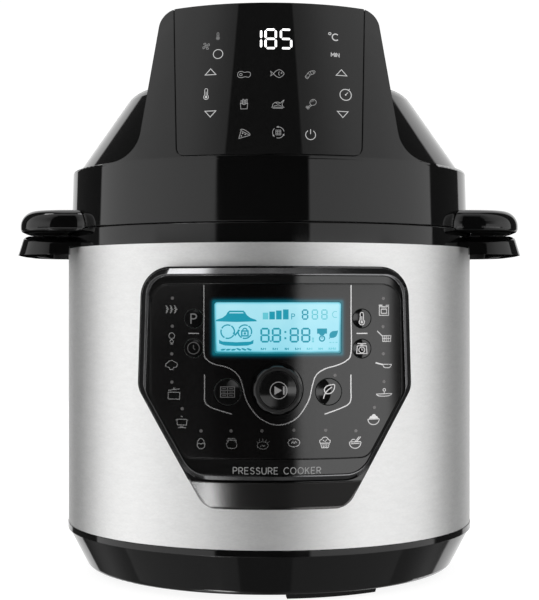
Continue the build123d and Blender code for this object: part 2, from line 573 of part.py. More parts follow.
# motor: lamination stack, winding, end straps with bushes, on a bracket over the reflector
MZ0, MZ1 = 270.0, 288.0
brkt = box(-112, 112, -17, 17, 262.0, 263.6) - cyl_z(0, 0, 9.0, 255, 270)
for sx in (-1, 1):
    brkt += box(min(sx * 110.4, sx * 112), max(sx * 110.4, sx * 112), -17, 17, 231.2, 262.5)
    brkt += box(min(sx * 110.4, sx * 120), max(sx * 110.4, sx * 120), -17, 17, 231.2, 232.8)
put("motor_bracket", brkt)
st = box(-32, 32, -26, 30, MZ0, MZ1) - cyl_z(0, 0, 14.4, 260, 300) - box(-18, 18, 17, 23, 260, 300)
put("motor_stator", st)
wd = box(-14, 14, 17.4, 36.0, MZ0 - 4.6, MZ1 + 4.6) - box(-20, 20, 22.8, 30.2, MZ0 - 0.2, MZ1 + 0.2)
put("motor_winding", wd)
bush = []
for z0 in (263.7, 289.0):
    b = ring(3.05, 8.0, z0, z0 + 6.0)
    if z0 > 280:
        b += box(-32, -7.5, -4, 4, 292.4, 294.0) + box(7.5, 32, -4, 4, 292.4, 294.0)
        b += box(-32, -30.4, -4, 4, MZ1 + 0.1, 293.0) + box(30.4, 32, -4, 4, MZ1 + 0.1, 293.0)
    else:
        b += ring(7.9, 24.0, 264.0, 265.2)
        for sx in (-1, 1):
            b += box(min(sx * 20, sx * 32), max(sx * 20, sx * 32), -4, 4, 264.0, 265.2)
            b += box(min(sx * 30.4, sx * 32), max(sx * 30.4, sx * 32), -4, 4, 264.0, MZ0 - 0.1)
    bush.append(b)
put("motor_bearings", *bush)
rotor = ring(0, 3.0, 226.5, 310.0) + ring(0, 14.0, MZ0 + 1.0, MZ1 - 1.0)
put("motor_rotor", rotor)

# fans on the two ends of the shaft
cf = ring(3.02, 9.0, 230.6, 243.4) + ring(8.5, 61.0, 241.6, 242.8)
for i in range(8):
    blade = box(8.0, 59.0, -0.7, 0.7, 229.6, 242.0)
    cf += Rot(0, 0, i * 45) * blade
put("convection_fan", cf)
put("fan_nut", hexa(9.0, 226.9, 229.4) - cyl_z(0, 0, 3.02, 220, 235))
cool = ring(3.02, 8.0, 298.0, 308.5) + ring(7.5, 44.0, 298.0, 299.2)
for i in range(12):
    blade = Rot(0, 0, i * 30) * Pos(27, 0, 303.4) * Rot(0, 0, 18) * Box(30, 1.2, 9.6)
    cool += blade
put("cooling_fan", cool)

# electronics behind the touch panel
lean = atan2(HEAD_R1 - CREST_R, CREST_Z - SHOULDER_Z)
tb = Pos(0, -86.0, 318.0) * Rot(-degrees(lean), 0, 0) * Box(104, 1.6, 66)
put("touch_board", tb)
td = Pos(3.0, -96.2, 333.4) * Rot(-degrees(lean), 0, 0) * Box(52, 11.0, 17)
put("touch_display", td)

# head handles and their closing plates
TZ0, TZ1 = 223.3, 237.6
lh = lug(HNDL_X, HND_HALF + 1.0, TZ0, TZ1, 10.0, 28.0, 10.2)
low = [e for e in lh.edges() if abs(e.center().Z - TZ0) < 1e-3 and e.center().X < -100.5]
lh = fillet(low, 2.8)
inner_l = lug(HNDL_X - 4.4, HND_HALF - 3.4, TZ0 - 5, TZ1 - 2.6, 7.0, 23.6)
cutter = ring(0, HEAD_R0 + LIDGAP, 200, 260) + ring(0, RIM_R + 0.15, 200, RIM_Z + 0.2)
lh = lh - (inner_l - ring(0, HEAD_R0 + 3.0, 200, 260)) - cutter
put("head_handle_left", lh)
put("head_handle_right", mirror(lh, about=Plane.YZ))
pl = prism_z(lug_outline(HNDL_X - 4.5, HND_HALF - 3.5, 23.5), TZ0 + 0.1, TZ0 + 2.1)
pl -= ring(0, HEAD_R0 + 3.4, 200, 260)
put("handle_plates", pl, mirror(pl, about=Plane.YZ))

# gland of the head's lead, and the screws of the underside
gl = Rot(0, 0, GL_A + 14) * Pos(0, 0, 246) * (
    Pos(0, -131.0, 0) * Rot(90, 0, 0) * Cylinder(6.0, 9.0) + Pos(0, -137.2, 0) * Rot(90, 0, 0) * Cylinder(8.5, 6.0)
    - Pos(0, -134, 0) * Rot(90, 0, 0) * Cylinder(3.6, 40))
gl -= Rot(0, 0, 0) * (ring(129.0, HEAD_R0 + 0.1, 225, 262) - Rot(0, 0, GL_A + 14) * Pos(0, -131, 246) * Rot(90, 0, 0) * Cylinder(6.1, 20))
put("lead_gland", gl)
hs = []
for i in range(6):
    x, y = at(123.0, 30 + 60 * i)
    hs.append(cyl_z(x, y, 3.5, 226.0, 227.1) + cyl_z(x, y, 1.9, 227.0, 229.9) - Pos(x, y, 225.9) * Box(4.4, 0.8, 1.2) - Pos(x, y, 225.9) * Box(0.8, 4.4, 1.2))
put("head_screws", *hs)

total = sum(s.volume for v in NODES.values() for s in v)
print(len(NODES), "nodes", sum(len(v) for v in NODES.values()), "solids", round(total / 1000), "cm3")
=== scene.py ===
import bpy, bmesh, json
from math import sin, cos, tan, pi, sqrt, radians, degrees, atan2, hypot
from mathutils import Vector, Matrix
from mathutils.geometry import tessellate_polygon


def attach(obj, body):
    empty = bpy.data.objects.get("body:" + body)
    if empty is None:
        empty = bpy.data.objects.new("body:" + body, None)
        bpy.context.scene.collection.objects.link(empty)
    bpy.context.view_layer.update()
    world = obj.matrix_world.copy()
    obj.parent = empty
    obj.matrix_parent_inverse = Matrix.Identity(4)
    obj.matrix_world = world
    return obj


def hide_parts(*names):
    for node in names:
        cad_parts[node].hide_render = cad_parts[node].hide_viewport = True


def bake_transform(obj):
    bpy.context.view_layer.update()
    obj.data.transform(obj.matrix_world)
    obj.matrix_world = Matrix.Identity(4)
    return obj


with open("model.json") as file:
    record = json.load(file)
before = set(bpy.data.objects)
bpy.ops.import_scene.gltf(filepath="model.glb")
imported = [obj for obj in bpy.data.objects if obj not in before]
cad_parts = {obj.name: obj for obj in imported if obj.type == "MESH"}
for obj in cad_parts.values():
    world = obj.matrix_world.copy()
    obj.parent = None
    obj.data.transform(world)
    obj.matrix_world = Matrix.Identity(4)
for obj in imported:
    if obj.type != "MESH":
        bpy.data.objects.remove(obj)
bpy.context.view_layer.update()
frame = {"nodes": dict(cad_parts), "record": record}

MM = 0.001
N = frame["nodes"]
scene = bpy.context.scene
scene.view_settings.view_transform = "Standard"
scene.view_settings.look = "None"

# --------------------------------------------------------------- the object's own numbers (mm)
PANEL_TURN = radians(1.8)
PAN_R = 146.0
LCD_R = 145.9
KNOB_Z = 128.2
SHOULDER_Z, CREST_Z = 264.5, 361.3
HEAD_R1, CREST_R = 131.8, 98.0
SLV_R = 135.0


# =============================================================== node helpers
class E:
    """A number in a shader: arithmetic on it adds Math nodes."""

    def __init__(self, nt, s):
        self.nt, self.s = nt, s

    def _op(self, op, b=None, c=None, swap=False):
        n = self.nt.nodes.new("ShaderNodeMath")
        n.operation = op
        args = [self, b, c]
        if swap:
            args = [b, self, c]
        for i, a in enumerate(args):
            if a is None:
                continue
            if isinstance(a, E):
                self.nt.links.new(a.s, n.inputs[i])
            else:
                n.inputs[i].default_value = float(a)
        return E(self.nt, n.outputs[0])

    def __add__(self, b): return self._op("ADD", b)
    __radd__ = __add__
    def __sub__(self, b): return self._op("SUBTRACT", b)
    def __rsub__(self, b): return self._op("SUBTRACT", b, swap=True)
    def __mul__(self, b): return self._op("MULTIPLY", b)
    __rmul__ = __mul__
    def __truediv__(self, b): return self._op("DIVIDE", b)
    def __neg__(self): return self._op("MULTIPLY", -1.0)
    def abs(self): return self._op("ABSOLUTE")
    def max(self, b): return self._op("MAXIMUM", b)
    def min(self, b): return self._op("MINIMUM", b)
    def pow(self, b): return self._op("POWER", b)
    def sqrt(self): return self._op("SQRT")
    def sin(self): return self._op("SINE")
    def frac(self): return self._op("FRACT")
    def atan2(self, b): return self._op("ARCTAN2", b)
    def asin(self): return self._op("ARCSINE")

    def step(self, lo, hi):
        """0 below lo, 1 above hi, smooth between."""
        n = self.nt.nodes.new("ShaderNodeMapRange")
        n.interpolation_type = "SMOOTHSTEP"
        self.nt.links.new(self.s, n.inputs["Value"])
        n.inputs["From Min"].default_value = lo
        n.inputs["From Max"].default_value = hi
        return E(self.nt, n.outputs["Result"])


def new_mat(name):
    m = bpy.data.materials.new(name)
    m.use_nodes = True
    nt = m.node_tree
    nt.nodes.clear()
    out = nt.nodes.new("ShaderNodeOutputMaterial")
    b = nt.nodes.new("ShaderNodeBsdfPrincipled")
    nt.links.new(b.outputs[0], out.inputs[0])
    return m, nt, b


def obj_co(nt):
    t = nt.nodes.new("ShaderNodeTexCoord")
    return t.outputs["Object"]


def sep(nt, v):
    s = nt.nodes.new("ShaderNodeSeparateXYZ")
    nt.links.new(v, s.inputs[0])
    return [E(nt, s.outputs[i]) for i in range(3)]


def comb(nt, x, y, z):
    c = nt.nodes.new("ShaderNodeCombineXYZ")
    for i, a in enumerate((x, y, z)):
        if isinstance(a, E):
            nt.links.new(a.s, c.inputs[i])
        else:
            c.inputs[i].default_value = float(a)
    return c.outputs[0]


def noise(nt, vec, scale, detail=2.0, rough=0.5):
    n = nt.nodes.new("ShaderNodeTexNoise")
    n.inputs["Scale"].default_value = scale
    n.inputs["Detail"].default_value = detail
    n.inputs["Roughness"].default_value = rough
    nt.links.new(vec, n.inputs["Vector"])
    return E(nt, n.outputs[0])


def voronoi(nt, vec, scale, feature="F1", out="Distance", rnd=1.0):
    n = nt.nodes.new("ShaderNodeTexVoronoi")
    n.feature = feature
    n.inputs["Scale"].default_value = scale
    n.inputs["Randomness"].default_value = rnd
    nt.links.new(vec, n.inputs["Vector"])
    return E(nt, n.outputs[out])


def bump(nt, height, strength, dist, normal=None):
    n = nt.nodes.new("ShaderNodeBump")
    n.inputs["Strength"].default_value = strength
    n.inputs["Distance"].default_value = dist
    nt.links.new(height.s, n.inputs["Height"])
    if normal is not None:
        nt.links.new(normal, n.inputs["Normal"])
    return n.outputs[0]


def bevel(nt, r, samples=6):
    n = nt.nodes.new("ShaderNodeBevel")
    n.samples = samples
    n.inputs["Radius"].default_value = r
    return n.outputs[0]


def ramp(nt, fac, stops):
    n = nt.nodes.new("ShaderNodeValToRGB")
    el = n.color_ramp.elements
    while len(el) < len(stops):
        el.new(0.5)
    for e, (p, c) in zip(el, stops):
        e.position = p
        e.color = (*c, 1.0) if len(c) == 3 else c
    nt.links.new(fac.s, n.inputs[0])
    return n.outputs["Color"]


def link(nt, val, sock):
    nt.links.new(val.s if isinstance(val, E) else val, sock)


def polar(nt):
    """(azimuth in radians, radius, z) of the object's own coordinates."""
    x, y, z = sep(nt, obj_co(nt))
    az = x.atan2(-y)
    r = (x * x + y * y).sqrt()
    return az, r, z


# =============================================================== materials
MATS = {}


def gloss(name, base, rough=0.05, peel=0.05, bev=0.0006, smudge=0.05, spec=0.5, under=False):
    """Piano-black moulding: faint orange peel, wiped smudges, a little dust in the gloss."""
    m, nt, b = new_mat(name)
    v = obj_co(nt)
    big = noise(nt, v, 9.0, 3.0)
    fine = noise(nt, v, 420.0, 2.0)
    dust = voronoi(nt, v, 700.0).step(0.05, 0.0)
    link(nt, ramp(nt, big * 0.6 + fine * 0.4, [(0.25, tuple(c * 0.75 for c in base)), (0.75, tuple(c * 1.3 for c in base))]), b.inputs["Base Color"])
    ro = big.step(0.5, 0.75) * smudge + fine * 0.02 + rough + dust * 0.12
    if under:
        # painted shade: downward faces are left matt by the mould, and their reflection is also taken out, so that they
        # read dark as if in shade
        g = nt.nodes.new("ShaderNodeNewGeometry")
        _, _, nz = sep(nt, g.outputs["True Normal"])
        dn = 1.0 - nz.step(-0.8, -0.5)
        ro = ro + dn * 0.5
        link(nt, (1.0 - dn) * spec, b.inputs["Specular IOR Level"])
    else:
        b.inputs["Specular IOR Level"].default_value = spec
    link(nt, ro, b.inputs["Roughness"])
    nrm = bevel(nt, bev) if bev else None
    link(nt, bump(nt, noise(nt, v, 260.0, 1.0), peel, 0.00006, nrm), b.inputs["Normal"])
    MATS[name] = m
    return m


def satin(name, base, rough=0.5, grain=1800.0, bev=0.0005, depth=0.35):
    """Spark-eroded texture on a moulding or rubber."""
    m, nt, b = new_mat(name)
    v = obj_co(nt)
    big = noise(nt, v, 14.0, 4.0)
    gr = noise(nt, v, grain, 2.0, 0.6)
    link(nt, ramp(nt, big * 0.5 + gr * 0.5, [(0.3, tuple(c * 0.7 for c in base)), (0.7, tuple(c * 1.35 for c in base))]), b.inputs["Base Color"])
    link(nt, gr * 0.18 + big * 0.12 + (rough - 0.12), b.inputs["Roughness"])
    nrm = bevel(nt, bev) if bev else None
    link(nt, bump(nt, gr, depth, 0.00012, nrm), b.inputs["Normal"])
    MATS[name] = m
    return m


def sheet_metal(name, base, rough=0.3, mode="z", lines=1500.0, depth=0.25, aniso=0.5, bev=0.0, tint=None, metal=1.0, var=1.0):
    """Metal with working marks: mode z = horizontal brushing round the body, spin = turned rings, x = straight grain, none = rolled."""
    m, nt, b = new_mat(name)
    az, r, z = polar(nt)
    x, y, _ = sep(nt, obj_co(nt))
    if mode == "z":
        vec = comb(nt, az * 16.0, z * lines * 0.16, r * 4.0)
        vec2 = comb(nt, az * 70.0, z * lines * 0.42, r * 4.0)
    elif mode == "spin":
        vec = comb(nt, az * 0.7, z * lines * 0.08, r * lines * 0.1)
        vec2 = comb(nt, az * 2.0, z * lines * 0.3, r * lines * 0.3)
    elif mode == "x":
        vec = comb(nt, x * 18.0, y * lines * 0.2, z * lines * 0.2)
        vec2 = comb(nt, x * 60.0, y * lines * 0.5, z * lines * 0.5)
    else:
        vec = comb(nt, x * 60.0, y * 60.0, z * 60.0)
        vec2 = comb(nt, x * 400.0, y * 400.0, z * 400.0)
    a = noise(nt, vec, 1.0 if mode != "none" else 1.0, 3.0, 0.6)
    c = noise(nt, vec2, 1.0, 3.0, 0.65)
    cloud = noise(nt, obj_co(nt), 7.0, 2.0)
    mix = a * 0.45 + c * 0.55
    lo = tuple(k * (1.0 - 0.16 * var) for k in base)
    hi = tuple(min(1.0, k * (1.0 + 0.14 * var)) for k in (tint or base))
    link(nt, ramp(nt, mix * 0.85 + cloud * 0.15, [(0.28, lo), (0.72, hi)]), b.inputs["Base Color"])
    b.inputs["Metallic"].default_value = metal
    link(nt, mix * 0.14 + cloud * 0.05 + (rough - 0.09), b.inputs["Roughness"])
    if aniso:
        b.inputs["Anisotropic"].default_value = aniso
        t = nt.nodes.new("ShaderNodeTangent")
        t.direction_type = "RADIAL"
        t.axis = "Z"
        nt.links.new(t.outputs[0], b.inputs["Tangent"])
        b.inputs["Anisotropic Rotation"].default_value = 0.25
    nrm = bevel(nt, bev) if bev else None
    link(nt, bump(nt, mix, depth, 0.00005, nrm), b.inputs["Normal"])
    MATS[name] = m
    return m


gloss("head_gloss_black", (0.0026, 0.0026, 0.0026), 0.03, 0.03, 0.0006)
gloss("gloss_black", (0.0029, 0.0029, 0.0029), 0.05, 0.04, 0.0005)
gloss("handle_black", (0.0027, 0.0027, 0.0027), 0.05, 0.05, 0.0006, under=True)
gloss("key_black", (0.0034, 0.0034, 0.0034), 0.09, 0.02, 0.0004)
gloss("start_black", (0.0036, 0.0036, 0.0036), 0.10, 0.02, 0.0004)
gloss("touch_glass", (0.0055, 0.0055, 0.0055), 0.025, 0.012, 0.0003, smudge=0.03)
gloss("led_display", (0.02, 0.02, 0.02), 0.2, 0.05, 0.0003)
satin("satin_black", (0.022, 0.022, 0.023), 0.5)
satin("rubber_black", (0.008, 0.008, 0.008), 0.75, 1100.0)
MATS["rubber_black"].node_tree.nodes["Principled BSDF"].inputs["Specular IOR Level"].default_value = 0.15
satin("silicone_grey", (0.42, 0.43, 0.44), 0.45, 900.0, depth=0.15)
satin("dial_black", (0.006, 0.006, 0.006), 0.30, 2400.0, 0.0006, 0.2)
satin("component_dark", (0.035, 0.035, 0.04), 0.45, 1500.0)
sheet_metal("brushed_steel", (0.845, 0.845, 0.84), 0.50, "z", 2600.0, 0.25, 0.3, var=0.55)
sheet_metal("pot_steel", (0.62, 0.62, 0.61), 0.26, "spin", 2600.0, 0.3, 0.5, 0.0004)
sheet_metal("steel_plain", (0.50, 0.50, 0.50), 0.34, "none", 1500.0, 0.12, 0.0, 0.0003)
sheet_metal("liner_steel", (0.58, 0.58, 0.58), 0.36, "z", 1400.0, 0.2, 0.3, 0.0003)
sheet_metal("cast_aluminium", (0.55, 0.55, 0.56), 0.38, "spin", 1800.0, 0.5, 0.3, 0.0004)
sheet_metal("dark_chrome", (0.155, 0.155, 0.158), 0.13, "none", 1500.0, 0.03, 0.0, 0.0005)
sheet_metal("zinc", (0.62, 0.62, 0.60), 0.28, "none", 1500.0, 0.15, 0.0, 0.0002)
sheet_metal("spring_steel", (0.48, 0.48, 0.48), 0.25, "none", 1500.0, 0.05)
sheet_metal("element_steel", (0.20, 0.185, 0.17), 0.42, "none", 1500.0, 0.3, 0.0, 0.0003, (0.34, 0.29, 0.23))
sheet_metal("reflector_steel", (0.68, 0.68, 0.68), 0.2, "spin", 1200.0, 0.15, 0.4, 0.0003)
sheet_metal("brass", (0.74, 0.56, 0.27), 0.25, "x", 1500.0, 0.1, 0.0, 0.0002)


def copper():
    m, nt, b = new_mat("copper")
    x, y, z = sep(nt, obj_co(nt))
    w = (z * 2400.0 * 2 * pi / 2.0).sin() * 0.5 + 0.5
    n = noise(nt, obj_co(nt), 300.0, 2.0)
    link(nt, ramp(nt, w * 0.7 + n * 0.3, [(0.1, (0.24, 0.08, 0.03)), (0.8, (0.72, 0.33, 0.14))]), b.inputs["Base Color"])
    b.inputs["Metallic"].default_value = 0.9
    link(nt, n * 0.2 + 0.2, b.inputs["Roughness"])
    link(nt, bump(nt, w, 0.8, 0.0002), b.inputs["Normal"])
    MATS["copper"] = m


def pcb():
    m, nt, b = new_mat("pcb_green")
    v = obj_co(nt)
    tr = voronoi(nt, v, 190.0, "DISTANCE_TO_EDGE", "Distance", 0.55).step(0.06, 0.03)
    pads = voronoi(nt, v, 330.0, "F1", "Distance", 0.4).step(0.22, 0.18)
    n = noise(nt, v, 900.0, 2.0)
    col = ramp(nt, tr * 0.5 + pads * 0.5 + n * 0.08, [(0.05, (0.008, 0.07, 0.03)), (0.4, (0.02, 0.17, 0.07)), (0.5, (0.45, 0.42, 0.33)), (1.0, (0.6, 0.56, 0.45))])
    link(nt, col, b.inputs["Base Color"])
    link(nt, n * 0.15 + 0.3, b.inputs["Roughness"])
    link(nt, bump(nt, tr + pads, 0.4, 0.00004), b.inputs["Normal"])
    MATS["pcb_green"] = m


def fascia():
    """Gloss film: near black, with the display's blue-green light bleeding into it round the window."""
    m, nt, b = new_mat("fascia_black")
    v = obj_co(nt)
    x, y, z = sep(nt, v)
    u = (x * cos(PANEL_TURN) + y * sin(PANEL_TURN)) * 1000.0
    w = z * 1000.0
    n = noise(nt, v, 500.0, 2.0)
    big = noise(nt, v, 12.0, 2.0)
    link(nt, ramp(nt, big * 0.6 + n * 0.4, [(0.3, (0.0014, 0.0013, 0.0013)), (0.7, (0.0025, 0.0023, 0.0023))]), b.inputs["Base Color"])
    link(nt, n * 0.05 + big * 0.05 + 0.10, b.inputs["Roughness"])
    # distance from the display window
    dx = ((u - 0.6).abs() - 36.8).max(0.0)
    dz = ((w - 163.5).abs() - 14.8).max(0.0)
    d = (dx * dx + dz * dz).sqrt()
    glow = (1.0 - d.step(0.0, 4.6)).pow(2.2)
    link(nt, ramp(nt, glow, [(0.0, (0.0, 0.0, 0.0)), (0.35, (0.0, 0.018, 0.027)), (1.0, (0.0, 0.12, 0.16))]), b.inputs["Emission Color"])
    b.inputs["Emission Strength"].default_value = 1.0
    link(nt, bump(nt, n, 0.03, 0.00004, bevel(nt, 0.0004)), b.inputs["Normal"])
    MATS["fascia_black"] = m


def lcd():
    m, nt, b = new_mat("lcd")
    v = obj_co(nt)
    x, y, z = sep(nt, v)
    u = (x * cos(PANEL_TURN) + y * sin(PANEL_TURN)) * 1000.0
    w = z * 1000.0
    n = noise(nt, v, 60.0, 2.0)
    grid = ((w * 2.2).frac() - 0.5).abs() * 0.03
    ex = ((u - 0.6).abs() - 34.6).max(0.0)
    ez = ((w - 163.5).abs() - 12.7).max(0.0)
    edge = (ex * ex + ez * ez).sqrt().step(0.0, 2.4)
    t = n * 0.30 + (w - 148.0) * 0.012 + 0.25 + grid - edge * 0.62
    link(nt, ramp(nt, t, [(0.0, (0.0, 0.20, 0.26)), (0.22, (0.12, 0.55, 0.68)), (0.45, (0.32, 0.72, 0.85)), (0.90, (0.46, 0.80, 0.88))]), b.inputs["Emission Color"])
    b.inputs["Emission Strength"].default_value = 0.94
    link(nt, ramp(nt, n, [(0.3, (0.02, 0.05, 0.06)), (0.7, (0.03, 0.07, 0.08))]), b.inputs["Base Color"])
    link(nt, n * 0.05 + 0.12, b.inputs["Roughness"])
    MATS["lcd"] = m


def clear(name, tint):
    m, nt, b = new_mat(name)
    v = obj_co(nt)
    n = noise(nt, v, 40.0, 3.0)
    link(nt, ramp(nt, n, [(0.3, tuple(c * 0.92 for c in tint)), (0.7, tint)]), b.inputs["Base Color"])
    link(nt, n * 0.08 + 0.06, b.inputs["Roughness"])
    b.inputs["Transmission Weight"].default_value = 0.92
    b.inputs["IOR"].default_value = 1.45
    link(nt, bump(nt, n, 0.05, 0.0001, bevel(nt, 0.0004)), b.inputs["Normal"])
    MATS[name] = m


def ink(name, col, rough, metal, emit=None, strength=0.0, fine=1600.0):
    m, nt, b = new_mat(name)
    v = obj_co(nt)
    n = noise(nt, v, fine, 2.0)
    g = noise(nt, v, 90.0, 2.0)
    link(nt, ramp(nt, n * 0.6 + g * 0.4, [(0.25, tuple(c * 0.85 for c in col)), (0.75, col)]), b.inputs["Base Color"])
    b.inputs["Metallic"].default_value = metal
    link(nt, n * 0.12 + rough, b.inputs["Roughness"])
    if emit:
        link(nt, ramp(nt, g, [(0.2, tuple(c * 0.9 for c in emit)), (0.8, emit)]), b.inputs["Emission Color"])
        b.inputs["Emission Strength"].default_value = strength
    link(nt, bump(nt, n, 0.1, 0.00002), b.inputs["Normal"])
    MATS[name] = m
    return m


def housing():
    """Gloss housing of the panel; the chin under it is smoked metal, with a painted highlight: its base colour is
    lighter towards its left.
    """
    m = gloss("housing_black", (0.0028, 0.0028, 0.0028), 0.05, 0.04, 0.0005)
    nt = m.node_tree
    b = nt.nodes["Principled BSDF"]
    x, y, z = sep(nt, obj_co(nt))
    u = (x * cos(PANEL_TURN) + y * sin(PANEL_TURN)) * 1000.0
    w = z * 1000.0
    n = noise(nt, comb(nt, x * 40.0, y * 40.0, z * 600.0), 1.0, 2.0)
    chin = 1.0 - w.step(73.2, 74.0)
    # painted highlight: in the chin the smoked-metal colour (the 0.35 floor) is lifted to light grey towards the left,
    # standing in for a reflection
    smoke_and_painted_highlight = chin * (0.35 + (1.0 - (u + n * 3.0).step(-44.0, -20.0)) * 0.65)
    link(nt, ramp(nt, smoke_and_painted_highlight + n * 0.02, [(0.0, (0.0028, 0.0028, 0.0028)), (0.35, (0.075, 0.073, 0.072)), (1.0, (0.46, 0.46, 0.46))]), b.inputs["Base Color"])
    link(nt, chin, b.inputs["Metallic"])
    link(nt, n * 0.05 + 0.05 + chin * 0.11, b.inputs["Roughness"])


copper()
pcb()
housing()
fascia()
lcd()
clear("cup_clear", (0.86, 0.88, 0.90))
ink("ink_silver", (0.50, 0.495, 0.495), 0.18, 0.85)
ink("ink_icon", (0.46, 0.455, 0.455), 0.18, 0.98)
ink("ink_mark", (0.80, 0.79, 0.79), 0.25, 0.15)
ink("ink_start", (0.30, 0.295, 0.295), 0.25, 0.30)
# painted shade: the next two inks are darker copies of ink_mark, for the marks on the left-hand keys, where shade falls
ink("ink_key", (0.155, 0.153, 0.153), 0.3, 0.1)
ink("ink_key_painted_shade", (0.072, 0.07, 0.07), 0.3, 0.1)
ink("ink_soft", (0.15, 0.145, 0.145), 0.25, 0.85)
ink("ink_lit", (0.28, 0.28, 0.28), 0.4, 0.0, (0.92, 0.92, 0.92), 0.36)
ink("ink_lit_mid", (0.15, 0.15, 0.15), 0.4, 0.0, (0.92, 0.92, 0.92), 0.20)
ink("ink_word", (0.34, 0.34, 0.34), 0.3, 0.5)
ink("ink_lit_dim", (0.15, 0.15, 0.15), 0.4, 0.0, (0.9, 0.9, 0.9), 0.14)
ink("digit_lit", (0.9, 0.9, 0.9), 0.4, 0.0, (1.0, 1.0, 1.0), 1.4)
ink("lcd_segment", (0.0, 0.02, 0.03), 0.3, 0.0, (0.004, 0.32, 0.44), 0.95)
ink("lcd_segment_faint", (0.02, 0.1, 0.12), 0.3, 0.0, (0.12, 0.55, 0.64), 0.9)

SLOT = {s["node"]: s["material_slot"] for s in frame["record"]["subparts"]}
for name, o in N.items():
    m = MATS["housing_black" if name == "panel_housing" else SLOT[name]]
    o.data.materials.clear()
    o.data.materials.append(m)
    for p in o.data.polygons:
        p.material_index = 0


